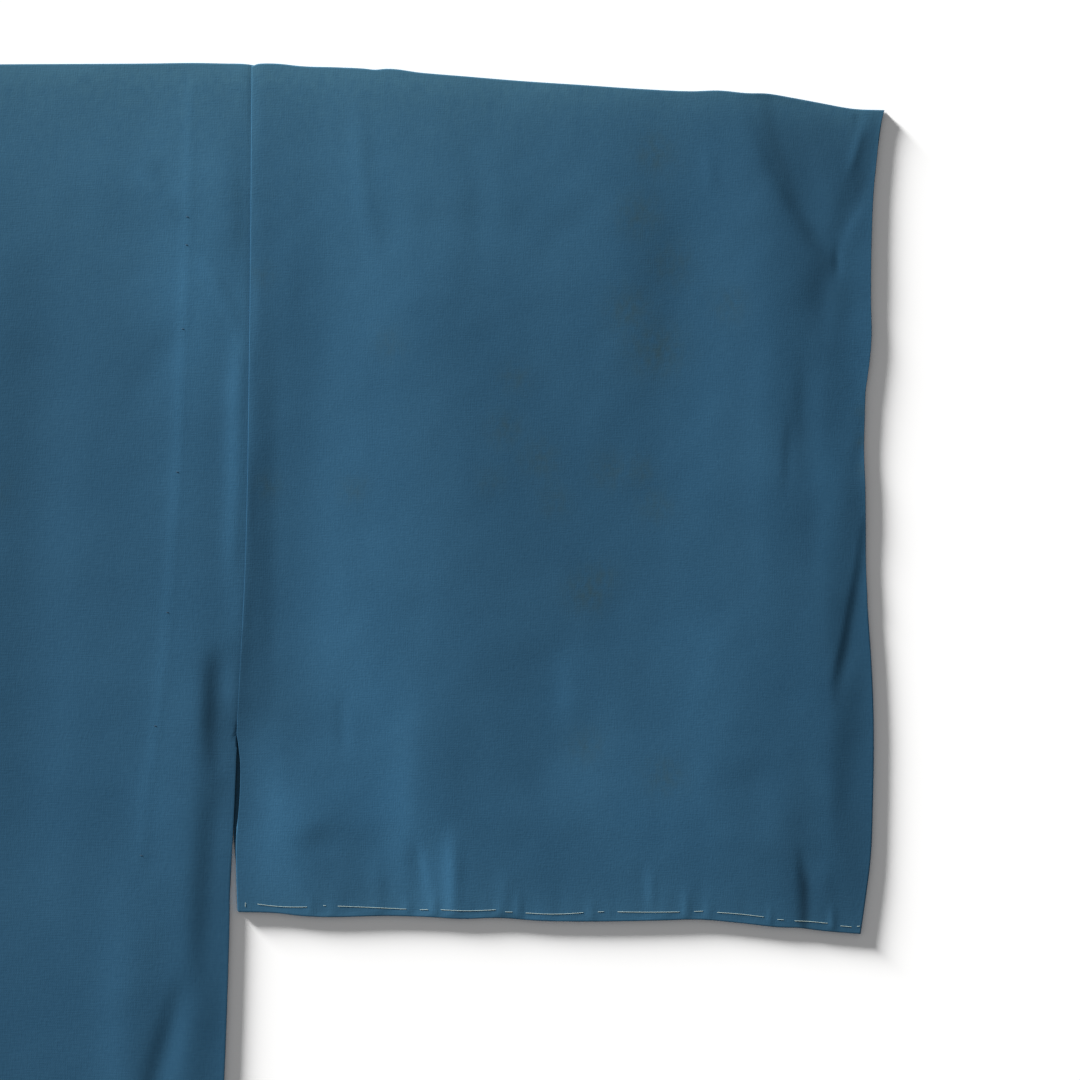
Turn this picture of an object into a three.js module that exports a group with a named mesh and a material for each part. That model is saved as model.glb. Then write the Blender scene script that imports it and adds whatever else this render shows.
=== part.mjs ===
// A plain silk juban, the robe worn under a kimono, laid out flat with its front side up.
//
// It lies on z = 0 with +Z up, the collar towards +Y and the hem towards -Y, and the wearer's left
// is at +X. Each half of the body is one width of cloth that runs from the back hem over the
// shoulder to the front hem, each sleeve is one width folded at its top, and one long band makes
// the collar. The left front lies over the right one, as it is worn. Sizes are in millimetres.
// "Depth" is measured down the garment from the shoulder line, and "half" sideways from its centre.

import * as THREE from 'three';
import { mergeVertices } from 'three/addons/utils/BufferGeometryUtils.js';

const { clamp, lerp, smoothstep } = THREE.MathUtils;

// Cloth
const CLOTH = 1; // thickness of one layer
const GAP = 0.3; // between pieces at a seam, and between layers that lie on each other
const FOLD_ROUND = 0.7; // how far a folded or sewn edge draws in above and below its middle
const FRONT_LEVEL = CLOTH + GAP; // underside of a front layer that lies on its back layer

// Lengths that a tailor would give
const BODY_LENGTH = 1290; // shoulder line to hem
const ARMHOLE = 379; // depth to which body and sleeve are sewn together
const SLEEVE_ROOT = 330; // half the width across both shoulders
const SLEEVE_INNER_DEPTH = 477; // sleeve length beside the body
const CUFF_TOP = 25; // how far the sleeve's top fold has slipped down at the cuff
const CUFF_BOTTOM = 489.5; // depth of the sleeve's outer bottom corner
const CUFF_OPENING = 284; // the cuff's hand opening, sewn shut below it
const NECK_HALF = 90; // half the width of the neck opening
const FRONT_EDGE = 5; // half at which a front panel ends, from the chest down
const SLANT_DEPTH = 360; // depth at which the slanted neckline reaches the front edge
const SLANT_BEND = 80; // the neckline bends for this much above and below that depth
const COLLAR_WIDTH = 57;
const COLLAR_THICK = 2 * CLOTH; // the band is folded double along its length
const CENTRE_GAP = GAP / 2; // from the centre line to the seam down the middle of the back

// The origin is under the middle of the garment, so the shoulder line lies at this Y
const SHOULDER_Y = (BODY_LENGTH - COLLAR_WIDTH - GAP) / 2;

// Outlines as they lie, each row a place and the size there

// Side of the body, which is the armhole seam down to ARMHOLE
const BODY_SIDE = [
  { depth: 0, half: 330 },
  { depth: 160, half: 328.6 },
  { depth: 280, half: 326.3 },
  { depth: 379, half: 321.4 },
  { depth: 434, half: 319.1 },
  { depth: 530, half: 315.7 },
  { depth: 700, half: 308 },
  { depth: 1290, half: 305 },
];

// Inner edge of the sleeve below the armhole, where it hangs free of the body
const SLEEVE_INNER = [
  { depth: 379, half: 321.7 },
  { depth: 398, half: 323.3 },
  { depth: 422, half: 322 },
  { depth: 435, half: 320.9 },
  { depth: 477, half: 322.1 },
];

// "Across" runs along the sleeve from SLEEVE_ROOT towards the cuff
const SLEEVE_TOP = [
  { across: 0, depth: 0 },
  { across: 65, depth: 2.3 },
  { across: 120, depth: 6 },
  { across: 187, depth: 11 },
  { across: 250, depth: 14.2 },
  { across: 290, depth: 15.6 },
  { across: 320, depth: 21 },
  { across: 356, depth: CUFF_TOP },
];

const SLEEVE_BOTTOM = [
  { across: -8, depth: SLEEVE_INNER_DEPTH },
  { across: 26, depth: 480 },
  { across: 134, depth: 481 },
  { across: 200, depth: 482.8 },
  { across: 252, depth: 482 },
  { across: 303, depth: 486.5 },
  { across: 343, depth: CUFF_BOTTOM },
];

const CUFF_EDGE = [
  { depth: 25, across: 355.9 },
  { depth: 53, across: 351.7 },
  { depth: 102, across: 349 },
  { depth: 154, across: 349.1 },
  { depth: 196, across: 345.2 },
  { depth: 217, across: 344.6 },
  { depth: 259, across: 345.7 },
  { depth: 312, across: 347.5 },
  { depth: 363, across: 350.3 },
  { depth: 414, across: 350 },
  { depth: 448, across: 348.4 },
  { depth: 489.5, across: 342.6 },
];

// The largest folds in the front layers. Each runs straight from one place to another and stands
// up by its rise, or sinks where that is negative; width is the distance at which it has faded.
const SLEEVE_LEFT_FOLDS = [
  { half: 347, depth: 200, toHalf: 340, toDepth: 352, width: 13, rise: -0.9 },
  { half: 413, depth: 10, toHalf: 404, toDepth: 430, width: 42, rise: 0.9 },
  { half: 574, depth: 20, toHalf: 570, toDepth: 260, width: 24, rise: -1.1 },
  { half: 619, depth: 20, toHalf: 610, toDepth: 400, width: 22, rise: 1.1 },
  { half: 610, depth: 18, toHalf: 661, toDepth: 118, width: 11, rise: -1.2 },
  { half: 684, depth: 26, toHalf: 660, toDepth: 118, width: 11, rise: -0.8 },
  { half: 674, depth: 236, toHalf: 660, toDepth: 345, width: 11, rise: -1.1 },
  { half: 640, depth: 425, toHalf: 641, toDepth: 488, width: 11, rise: -0.9 },
];

const SLEEVE_RIGHT_FOLDS = [
  { half: 345, depth: 120, toHalf: 341, toDepth: 330, width: 13, rise: -0.8 },
  { half: 420, depth: 30, toHalf: 432, toDepth: 470, width: 38, rise: 1 },
  { half: 500, depth: 10, toHalf: 520, toDepth: 300, width: 26, rise: -1 },
  { half: 590, depth: 60, toHalf: 600, toDepth: 440, width: 24, rise: 1 },
  { half: 570, depth: 14, toHalf: 640, toDepth: 150, width: 12, rise: -1.1 },
  { half: 668, depth: 210, toHalf: 648, toDepth: 350, width: 12, rise: -0.9 },
];

const BODY_LEFT_FOLDS = [
  { half: 295, depth: 10, toHalf: 289, toDepth: 240, width: 12, rise: 0.8 },
  { half: 289, depth: 215, toHalf: 268, toDepth: 430, width: 12, rise: 0.9 },
  { half: 306, depth: 312, toHalf: 306, toDepth: 405, width: 10, rise: -1.1 },
  { half: 215, depth: 60, toHalf: 200, toDepth: 520, width: 28, rise: -0.8 },
  { half: 262, depth: 430, toHalf: 250, toDepth: 1080, width: 22, rise: 0.8 },
  { half: 170, depth: 500, toHalf: 182, toDepth: 1270, width: 26, rise: 0.9 },
  { half: 285, depth: 780, toHalf: 292, toDepth: 1280, width: 18, rise: -0.8 },
  { half: 110, depth: 620, toHalf: 118, toDepth: 1250, width: 22, rise: -0.8 },
];

const BODY_RIGHT_FOLDS = [
  { half: 292, depth: 20, toHalf: 296, toDepth: 360, width: 12, rise: 0.8 },
  { half: 240, depth: 90, toHalf: 225, toDepth: 480, width: 26, rise: -0.9 },
  { half: 180, depth: 20, toHalf: 160, toDepth: 400, width: 24, rise: 0.7 },
  { half: 278, depth: 420, toHalf: 270, toDepth: 1000, width: 20, rise: 0.9 },
  { half: 205, depth: 560, toHalf: 190, toDepth: 1275, width: 24, rise: -0.9 },
  { half: 130, depth: 480, toHalf: 142, toDepth: 1200, width: 24, rise: 0.8 },
];

const SLACK = 1.2; // how high the fullness of the cloth lifts a front layer away from its edges
const SLACK_MARGIN = 32; // distance from a folded or sewn edge over which that height is reached
const SEAM_SLACK = 0.8; // the same at the armhole seam, where body and sleeve stay level
const MOST_RISE = 3.1;

// Where the two fronts cross they press each other flat
const CROSSING = { fromHalf: 50, toHalf: 150, foldShare: 0.4, mostRise: 0.6 };

// Grids: how finely each stretch of a layer is divided
const SLEEVE_COLUMNS = 20;
const SLEEVE_ROWS = divisions([
  { to: CUFF_OPENING / (CUFF_BOTTOM - CUFF_TOP), steps: 8 },
  { to: ARMHOLE / SLEEVE_INNER_DEPTH, steps: 3 },
  { to: 1, steps: 4 },
]);
const BODY_ROWS = divisions([
  { to: ARMHOLE, steps: 10 },
  { to: BODY_LENGTH, steps: 16 },
]);
const BODY_COLUMNS = divisions([
  { to: 0.16, steps: 4 },
  { to: 1, steps: 6 },
]);

function divisions(stretches) {
  const places = [0];
  for (const { to, steps } of stretches) {
    const from = places[places.length - 1];
    for (let step = 1; step <= steps; step += 1) places.push(lerp(from, to, step / steps));
  }
  return places;
}

// Smooth reading of a table: the column `wanted` where the column `known` has the value `place`
function readTable(table, known, wanted, place) {
  const row = (n) => table[clamp(n, 0, table.length - 1)];
  let k = 0;
  while (k < table.length - 2 && place > table[k + 1][known]) k += 1;
  const from = row(k);
  const to = row(k + 1);
  const span = to[known] - from[known];
  const t = clamp((place - from[known]) / span, 0, 1);
  const steepness = (a, b) => (span * (b[wanted] - a[wanted])) / (b[known] - a[known]);
  const start = steepness(row(k - 1), to);
  const end = steepness(from, row(k + 2));
  return (
    from[wanted] * (2 * t ** 3 - 3 * t ** 2 + 1) +
    to[wanted] * (3 * t ** 2 - 2 * t ** 3) +
    start * (t ** 3 - 2 * t ** 2 + t) +
    end * (t ** 3 - t ** 2)
  );
}

// Height that the folds of a table give at one place
function foldHeight(folds, half, depth) {
  let height = 0;
  for (const fold of folds) {
    const runHalf = fold.toHalf - fold.half;
    const runDepth = fold.toDepth - fold.depth;
    const length = Math.hypot(runHalf, runDepth);
    const ahead = ((half - fold.half) * runHalf + (depth - fold.depth) * runDepth) / length;
    const aside = ((half - fold.half) * runDepth - (depth - fold.depth) * runHalf) / length;
    const end = Math.min(length / 3, 3 * fold.width);
    const taper = smoothstep(ahead, 0, end) * smoothstep(length - ahead, 0, end);
    height += fold.rise * taper * Math.exp(-2 * (aside / fold.width) ** 2);
  }
  return height;
}

// 1 away from an edge and 0 on it
const awayFrom = (distance) => smoothstep(distance, 0, SLACK_MARGIN);

// 1 if either of two shares is 1, and smooth between
const either = (a, b) => 1 - (1 - a) * (1 - b);

// The neckline: the seam of collar and front panel, slanted over the chest, then straight down
function necklineHalf(depth) {
  const slope = (NECK_HALF - FRONT_EDGE) / SLANT_DEPTH;
  const bent = clamp(depth - SLANT_DEPTH + SLANT_BEND, 0, 2 * SLANT_BEND);
  const reached = Math.min(depth, SLANT_DEPTH + SLANT_BEND);
  return NECK_HALF - slope * (reached - bent ** 2 / (4 * SLANT_BEND));
}

// The left front and its collar lie over the right ones from here down
const OVERLAP_START = 20;
const OVERLAP_FULL = 125;
const OVERLAP_CLEAR = 0.4; // room left over the right collar
const OVER_LEVEL = FRONT_LEVEL + COLLAR_THICK + OVERLAP_CLEAR; // underside of what lies on top
const LIFT_HOLD = 6; // the left front stays lifted this far beyond the right collar's edge
const LIFT_FALL = 36; // and comes down over this width
const overlapShare = (depth) => smoothstep(depth, OVERLAP_START, OVERLAP_FULL);

// How far the left front is lifted at a place by the right collar under it
function liftOverCollar(half, depth) {
  const underCollarHalf = COLLAR_WIDTH - necklineHalf(depth);
  const held = Math.max(necklineHalf(depth), underCollarHalf) + LIFT_HOLD;
  const share = 1 - smoothstep(half, held, held + LIFT_FALL);
  return (OVER_LEVEL - FRONT_LEVEL) * overlapShare(depth) * share;
}

// Mesh of one body: corners are added by place, and faces are fans over lists of corners
class Skin {
  constructor() {
    this.positions = [];
    this.faces = [];
  }

  corner(x, y, z) {
    this.positions.push(x, y, z);
    return this.positions.length / 3 - 1;
  }

  face(...corners) {
    for (let k = 1; k < corners.length - 1; k += 1) {
      this.faces.push(corners[0], corners[k], corners[k + 1]);
    }
  }

  // Faces point out where columns run towards +X; where they run towards -X they are turned round
  geometry(turned) {
    const shape = new THREE.BufferGeometry();
    const faces = turned ? this.faces.slice().reverse() : this.faces;
    shape.setAttribute('position', new THREE.Float32BufferAttribute(this.positions, 3));
    shape.setIndex(faces);
    const merged = mergeVertices(shape);
    merged.computeVertexNormals();
    return merged;
  }
}

// Places on the rim of a layer, in order: down the first column, along the last row, and back
function rimOf({ columns, rows }) {
  const rim = [];
  for (let row = 0; row < rows; row += 1) rim.push([0, row]);
  for (let column = 0; column < columns; column += 1) rim.push([column, rows]);
  for (let row = rows; row > 0; row -= 1) rim.push([columns, row]);
  for (let column = columns; column > 0; column -= 1) rim.push([column, 0]);
  return rim;
}

// Corners of one layer's two sides. A joined rim place draws in towards the inside of the layer,
// and one at the end of a joined stretch draws in along the open edge.
function layerCorners(skin, layer, joined, outerHeight, innerHeight) {
  const { columns, rows, place } = layer;
  const rim = rimOf(layer);
  const drawIn = new Map();
  rim.forEach((spot, n) => {
    const before = rim[(n + rim.length - 1) % rim.length];
    const after = rim[(n + 1) % rim.length];
    const joinedBefore = joined(before, spot);
    const joinedAfter = joined(spot, after);
    if (!joinedBefore && !joinedAfter) return;
    const inside = [clamp(spot[0], 1, columns - 1), clamp(spot[1], 1, rows - 1)];
    const openSide = joinedBefore ? after : before;
    const target = place(...(joinedBefore && joinedAfter ? inside : openSide));
    const here = place(...spot);
    const direction = new THREE.Vector2(target.x - here.x, target.y - here.y).normalize();
    drawIn.set(spot.join(), direction);
  });
  const outer = [];
  const inner = [];
  for (let column = 0; column <= columns; column += 1) {
    outer.push([]);
    inner.push([]);
    for (let row = 0; row <= rows; row += 1) {
      const { x, y, z } = place(column, row);
      const direction = drawIn.get([column, row].join()) ?? new THREE.Vector2();
      const round = direction.clone().multiplyScalar(FOLD_ROUND);
      const wall = direction.clone().multiplyScalar(CLOTH);
      outer[column].push(skin.corner(x + round.x, y + round.y, z + outerHeight));
      inner[column].push(skin.corner(x + wall.x, y + wall.y, z + innerHeight));
    }
  }
  return { outer, inner, rim, columns, rows };
}

// One piece of cloth folded to a back and a front layer. `joined` says whether two neighbouring
// places on the rim are joined, by a fold or a seam; elsewhere the layers stay open. A layer's
// place(column, row) is a point on its underside.
function foldedCloth({ back, front, joined, turned }) {
  const skin = new Skin();
  const over = layerCorners(skin, front, joined, CLOTH, 0);
  const under = layerCorners(skin, back, joined, 0, CLOTH);
  for (const [layer, up, down] of [
    [over, over.outer, over.inner],
    [under, under.inner, under.outer],
  ]) {
    for (let c = 0; c < layer.columns; c += 1) {
      for (let r = 0; r < layer.rows; r += 1) {
        skin.face(up[c][r], up[c][r + 1], up[c + 1][r + 1], up[c + 1][r]);
        skin.face(down[c][r], down[c + 1][r], down[c + 1][r + 1], down[c][r + 1]);
      }
    }
  }
  const middles = new Map();
  const middle = (spot) => {
    const key = spot.join();
    if (!middles.has(key)) {
      const { x, y, z } = front.place(...spot);
      middles.set(key, skin.corner(x, y, (z + CLOTH) / 2));
    }
    return middles.get(key);
  };
  const at = (grid, [column, row]) => grid[column][row];
  eachRimStep(over.rim, (before, a, b, after) => {
    if (!joined(a, b)) {
      skin.face(at(over.inner, a), at(over.inner, b), at(over.outer, b), at(over.outer, a));
      return;
    }
    skin.face(at(under.outer, a), at(under.outer, b), middle(b), middle(a));
    skin.face(middle(a), middle(b), at(over.outer, b), at(over.outer, a));
    skin.face(at(over.inner, a), at(over.inner, b), at(under.inner, b), at(under.inner, a));
    const wallEnd = (spot) => [
      at(under.outer, spot),
      middle(spot),
      at(over.outer, spot),
      at(over.inner, spot),
      at(under.inner, spot),
    ];
    if (!joined(before, a)) skin.face(...wallEnd(a));
    if (!joined(b, after)) skin.face(...wallEnd(b).reverse());
  });
  eachRimStep(under.rim, (before, a, b) => {
    if (joined(a, b)) return;
    skin.face(at(under.outer, a), at(under.outer, b), at(under.inner, b), at(under.inner, a));
  });
  return skin.geometry(turned);
}

function eachRimStep(rim, visit) {
  const count = rim.length;
  for (let n = 0; n < count; n += 1) {
    visit(rim[(n + count - 1) % count], rim[n], rim[(n + 1) % count], rim[(n + 2) % count]);
  }
}

// Half of the body: side seam, shoulder fold and two open edges at the centre
function bodyHalf({ side, folds, liesOver }) {
  const rows = BODY_ROWS.length - 1;
  const frontColumns = BODY_COLUMNS.length - 1;
  const armholeRow = BODY_ROWS.indexOf(ARMHOLE);
  const sideHalf = (depth) => readTable(BODY_SIDE, 'depth', 'half', depth);
  const frontHalf = (column, depth) =>
    lerp(sideHalf(depth), necklineHalf(depth) + GAP, BODY_COLUMNS[column]);

  const frontRise = (half, depth) => {
    const fromSide = sideHalf(depth) - half;
    const atShoulder = awayFrom(depth);
    const seam = SEAM_SLACK * awayFrom(ARMHOLE - depth);
    const slack = lerp(seam, SLACK, awayFrom(fromSide)) * atShoulder;
    const loose = slack + foldHeight(folds, half, depth) * awayFrom(fromSide) * atShoulder;
    const free = smoothstep(half, CROSSING.fromHalf, CROSSING.toHalf);
    const most = lerp(CROSSING.mostRise, MOST_RISE, free);
    return clamp(loose * lerp(CROSSING.foldShare, 1, free), 0, most);
  };

  const front = {
    columns: frontColumns,
    rows,
    place(column, row) {
      const depth = BODY_ROWS[row];
      const half = frontHalf(column, depth);
      const lift = liesOver ? liftOverCollar(half, depth) : 0;
      const z = FRONT_LEVEL + frontRise(half, depth) + lift;
      return { x: side * half, y: SHOULDER_Y - depth, z };
    },
  };

  // The back goes on past the front's edge to the seam down the middle
  const back = {
    columns: frontColumns + 1,
    rows,
    place(column, row) {
      const depth = BODY_ROWS[row];
      const half = column > frontColumns ? CENTRE_GAP : frontHalf(column, depth);
      return { x: side * half, y: SHOULDER_Y - depth, z: 0 };
    },
  };

  const joined = ([columnA, rowA], [columnB, rowB]) => {
    const onShoulder = rowA === 0 && rowB === 0 && Math.max(columnA, columnB) <= frontColumns;
    const onSide = columnA === 0 && columnB === 0 && Math.min(rowA, rowB) >= armholeRow;
    return onShoulder || onSide;
  };
  return foldedCloth({ back, front, joined, turned: side > 0 });
}

// A sleeve: folded at its top, sewn along its bottom, open at the armhole and the hand opening
function sleeve({ side, folds }) {
  const rows = SLEEVE_ROWS.length - 1;
  const armholeShare = ARMHOLE / SLEEVE_INNER_DEPTH;
  const cuffShare = CUFF_OPENING / (CUFF_BOTTOM - CUFF_TOP);
  const armholeRow = SLEEVE_ROWS.indexOf(armholeShare);
  const cuffRow = SLEEVE_ROWS.indexOf(cuffShare);

  const innerEdge = (share) => {
    const depth = share * SLEEVE_INNER_DEPTH;
    if (share > armholeShare) {
      return new THREE.Vector2(readTable(SLEEVE_INNER, 'depth', 'half', depth), depth);
    }
    return new THREE.Vector2(readTable(BODY_SIDE, 'depth', 'half', depth) + GAP, depth);
  };
  const cuffEdge = (share) => {
    const depth = lerp(CUFF_TOP, CUFF_BOTTOM, share);
    return new THREE.Vector2(SLEEVE_ROOT + readTable(CUFF_EDGE, 'depth', 'across', depth), depth);
  };
  const levelEdge = (table, from, to, share) => {
    const half = lerp(from.x, to.x, share);
    return new THREE.Vector2(half, readTable(table, 'across', 'depth', half - SLEEVE_ROOT));
  };

  // The four edges are filled as a Coons patch, so the rows follow the top and the bottom
  const spread = (across, down) => {
    const corners = [innerEdge(0), cuffEdge(0), innerEdge(1), cuffEdge(1)];
    const topEdge = levelEdge(SLEEVE_TOP, corners[0], corners[1], across);
    const bottomEdge = levelEdge(SLEEVE_BOTTOM, corners[2], corners[3], across);
    const sides = innerEdge(down).lerp(cuffEdge(down), across);
    const levels = topEdge.lerp(bottomEdge, down);
    const twist = corners[0].lerp(corners[1], across).lerp(corners[2].lerp(corners[3], across), down);
    return sides.add(levels).sub(twist);
  };

  const frontRise = (across, down, half, depth) => {
    const width = CUFF_EDGE[0].across;
    const fromInner = either(awayFrom(across * width), awayFrom(ARMHOLE - depth));
    const cuffStop = CUFF_TOP + CUFF_OPENING;
    const fromCuff = either(awayFrom((1 - across) * width), awayFrom(cuffStop - depth));
    const fromTop = awayFrom(down * SLEEVE_INNER_DEPTH);
    const fromBottom = awayFrom((1 - down) * SLEEVE_INNER_DEPTH);
    const fade = fromInner * fromCuff * fromTop * fromBottom;
    const atSeam = awayFrom(across * width);
    const slack = lerp(SEAM_SLACK, SLACK, atSeam);
    return clamp((slack + foldHeight(folds, half, depth) * atSeam) * fade, 0, MOST_RISE);
  };

  const layer = (height) => ({
    columns: SLEEVE_COLUMNS,
    rows,
    place(column, row) {
      const across = column / SLEEVE_COLUMNS;
      const down = SLEEVE_ROWS[row];
      const { x: half, y: depth } = spread(across, down);
      return { x: side * half, y: SHOULDER_Y - depth, z: height(across, down, half, depth) };
    },
  });

  const joined = ([columnA, rowA], [columnB, rowB]) => {
    const upper = Math.min(rowA, rowB);
    const level = rowA === rowB && (rowA === 0 || rowA === rows);
    const onInner = columnA === 0 && columnB === 0 && upper >= armholeRow;
    const onCuff = columnA === SLEEVE_COLUMNS && columnB === SLEEVE_COLUMNS && upper >= cuffRow;
    return level || onInner || onCuff;
  };
  return foldedCloth({
    back: layer(() => 0),
    front: layer((...where) => FRONT_LEVEL + frontRise(...where)),
    joined,
    turned: side < 0,
  });
}

// The collar: one band along the back of the neck, turned over at each neck corner on a mitred
// fold, and down both fronts to the hem. Each station holds the face that is turned under at the
// back of the neck and uppermost on the fronts, and the face opposite to it.
const SLANT = Math.atan((NECK_HALF - FRONT_EDGE) / SLANT_DEPTH);
const MITRE = (Math.PI / 2 + SLANT) / 2; // angle between the band and its fold line
const MITRE_LAG = COLLAR_WIDTH / Math.tan(MITRE); // one edge trails the other by this at the fold
const FOLD_STEPS = 6;
const BACK_STEPS = 4;
const COLLAR_SHARES = [0, 1 / 3, 2 / 3, 1]; // points across the band, from its seam to its free edge

function collarHalf(side, levelAt) {
  const station = (seam, free, shownZ, hiddenZ) => ({
    shown: [seam, free].map((p) => new THREE.Vector3(side * p.x, SHOULDER_Y + GAP - p.y, shownZ)),
    hidden: [seam, free].map((p) => new THREE.Vector3(side * p.x, SHOULDER_Y + GAP - p.y, hiddenZ)),
  });
  const stations = [];
  for (let step = 0; step < BACK_STEPS; step += 1) {
    const share = step / BACK_STEPS;
    const seam = new THREE.Vector2(NECK_HALF * share, 0);
    const free = new THREE.Vector2((NECK_HALF - MITRE_LAG) * share, -COLLAR_WIDTH);
    stations.push(station(seam, free, 0, COLLAR_THICK));
  }
  const turnRadius = COLLAR_THICK + GAP / 2;
  const seamEnd = new THREE.Vector2(NECK_HALF, 0);
  const freeEnd = new THREE.Vector2(NECK_HALF - MITRE_LAG, -COLLAR_WIDTH);
  const outward = new THREE.Vector2(Math.sin(MITRE), -Math.cos(MITRE));
  for (let step = 0; step <= FOLD_STEPS; step += 1) {
    const turn = (Math.PI * step) / FOLD_STEPS;
    const turned = (p, radius) =>
      new THREE.Vector3(
        side * (p.x + outward.x * radius * Math.sin(turn)),
        SHOULDER_Y + GAP - p.y - outward.y * radius * Math.sin(turn),
        turnRadius - radius * Math.cos(turn),
      );
    stations.push({
      shown: [seamEnd, freeEnd].map((p) => turned(p, turnRadius)),
      hidden: [seamEnd, freeEnd].map((p) => turned(p, GAP / 2)),
    });
  }
  BODY_ROWS.slice(1).forEach((depth, n) => {
    const lean = (necklineHalf(depth + 1) - necklineHalf(depth - 1)) / 2;
    const downward = new THREE.Vector2(lean, 1).normalize();
    const inward = new THREE.Vector2(-downward.y, downward.x);
    const seam = new THREE.Vector2(necklineHalf(depth), depth);
    const lag = n === 0 ? MITRE_LAG / 2 : 0;
    const free = seam.clone().addScaledVector(inward, COLLAR_WIDTH).addScaledVector(downward, -lag);
    if (depth === BODY_LENGTH) free.y = depth;
    const level = levelAt(depth);
    stations.push(station(seam, free, level + COLLAR_THICK, level));
  });
  return stations;
}

function collar() {
  const turnedLevel = COLLAR_THICK + GAP; // where the band leaves its fold, over its back part
  const leftLevel = (depth) => lerp(turnedLevel, OVER_LEVEL, overlapShare(depth));
  const rightLevel = (depth) => lerp(turnedLevel, FRONT_LEVEL, overlapShare(depth));
  const left = collarHalf(1, leftLevel);
  const right = collarHalf(-1, rightLevel);
  const stations = [...right.slice(1).reverse(), ...left];
  const skin = new Skin();
  const rings = stations.map(({ shown, hidden }) => {
    const across = (edges) => COLLAR_SHARES.map((share) => edges[0].clone().lerp(edges[1], share));
    const ring = [...across(shown), ...across(hidden).reverse()];
    return ring.map((p) => skin.corner(p.x, p.y, p.z));
  });
  for (let n = 1; n < rings.length; n += 1) {
    const before = rings[n - 1];
    const after = rings[n];
    before.forEach((corner, k) => {
      const next = (k + 1) % before.length;
      skin.face(corner, after[k], after[next], before[next]);
    });
  }
  const capEnd = (ring) => {
    const last = ring.length - 1;
    for (let k = 0; k < COLLAR_SHARES.length - 1; k += 1) {
      skin.face(ring[k], ring[k + 1], ring[last - k - 1], ring[last - k]);
    }
  };
  capEnd(rings[0]);
  capEnd(rings[rings.length - 1].slice().reverse());
  return skin.geometry(true);
}

const silk = (color) =>
  new THREE.MeshStandardMaterial({ color, roughness: 0.62, metalness: 0, side: THREE.FrontSide });

const juban = new THREE.Group();

function addPiece(name, geometry, color) {
  const mesh = new THREE.Mesh(geometry, silk(color));
  mesh.name = name;
  juban.add(mesh);
}

addPiece('body_left', bodyHalf({ side: 1, folds: BODY_LEFT_FOLDS, liesOver: true }), 0x335a74);
addPiece('body_right', bodyHalf({ side: -1, folds: BODY_RIGHT_FOLDS, liesOver: false }), 0x335a74);
addPiece('sleeve_left', sleeve({ side: 1, folds: SLEEVE_LEFT_FOLDS }), 0x32566f);
addPiece('sleeve_right', sleeve({ side: -1, folds: SLEEVE_RIGHT_FOLDS }), 0x32566f);
addPiece('collar', collar(), 0x355c76);

export default juban;
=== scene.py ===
# %% [markdown]
# # A silk juban laid out flat
#
# A juban is the plain robe worn under a kimono. Each half of its body is one width of silk that
# runs from the back hem over the shoulder to the front hem, each sleeve is one width folded at
# its top, and a long band folded double makes the collar. Here it lies on a table with its front
# side up, the left front over the right one, and the camera looks straight down at one sleeve.
#
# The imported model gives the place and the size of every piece. This script lays a thin sheet of
# cloth over each of them, then adds the creases, the basting thread, the silk and the light.

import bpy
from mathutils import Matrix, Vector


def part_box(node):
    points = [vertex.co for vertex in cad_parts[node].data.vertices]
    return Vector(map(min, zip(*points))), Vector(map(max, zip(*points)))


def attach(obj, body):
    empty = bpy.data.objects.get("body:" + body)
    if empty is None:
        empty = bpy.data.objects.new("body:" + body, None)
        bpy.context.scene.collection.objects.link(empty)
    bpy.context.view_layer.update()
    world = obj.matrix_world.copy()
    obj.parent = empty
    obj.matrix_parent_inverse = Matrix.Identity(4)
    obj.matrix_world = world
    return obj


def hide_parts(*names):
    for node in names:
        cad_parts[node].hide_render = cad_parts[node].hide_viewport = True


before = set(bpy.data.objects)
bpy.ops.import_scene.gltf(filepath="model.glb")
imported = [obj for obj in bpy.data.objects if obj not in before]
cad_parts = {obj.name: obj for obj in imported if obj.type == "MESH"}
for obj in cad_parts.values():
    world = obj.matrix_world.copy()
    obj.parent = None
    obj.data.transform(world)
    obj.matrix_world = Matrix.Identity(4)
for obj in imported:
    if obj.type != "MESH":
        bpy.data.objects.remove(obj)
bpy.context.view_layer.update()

# %% Other libraries
import math
from collections import namedtuple

import bpy
import numpy as np
from mathutils import Vector, noise

# %% [markdown]
# ## The camera
#
# The picture is a close-up from straight above. An orthographic camera could give it, but a real
# one has a lens, and a long lens from three metres up shows almost no perspective either. From
# here on, "half" is measured sideways from the middle of the garment, and "depth" down it from
# the shoulder line.

# %% Camera
SHOULDER_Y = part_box("body_left")[1].y
FRAME_WIDTH = 0.609  # what the picture covers of the surface
FRAME_CENTRE = {"half": 0.4919, "depth": 0.2673}
CAMERA_HEIGHT = 3.0

bpy.ops.object.camera_add(
    location=(FRAME_CENTRE["half"], SHOULDER_Y - FRAME_CENTRE["depth"], CAMERA_HEIGHT),
    rotation=(0, 0, 0),
)
camera = bpy.context.object
camera.name = "camera"
camera.data.lens = camera.data.sensor_width * CAMERA_HEIGHT / FRAME_WIDTH
camera.data.clip_end = 20
bpy.context.scene.camera = camera
print("lens:", round(camera.data.lens, 1), "mm")

# %% [markdown]
# ## The tailor's lengths
#
# A juban is cut from a few lengths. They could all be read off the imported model's boxes, but a box
# knows nothing of an armhole or a slit, so only the body length comes from there. The heights of
# the layers are the solids' own: a millimetre for each layer and a small gap between. The cloth
# made here is thinner, and lies at the upper side of the front layer and on the table.

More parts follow.
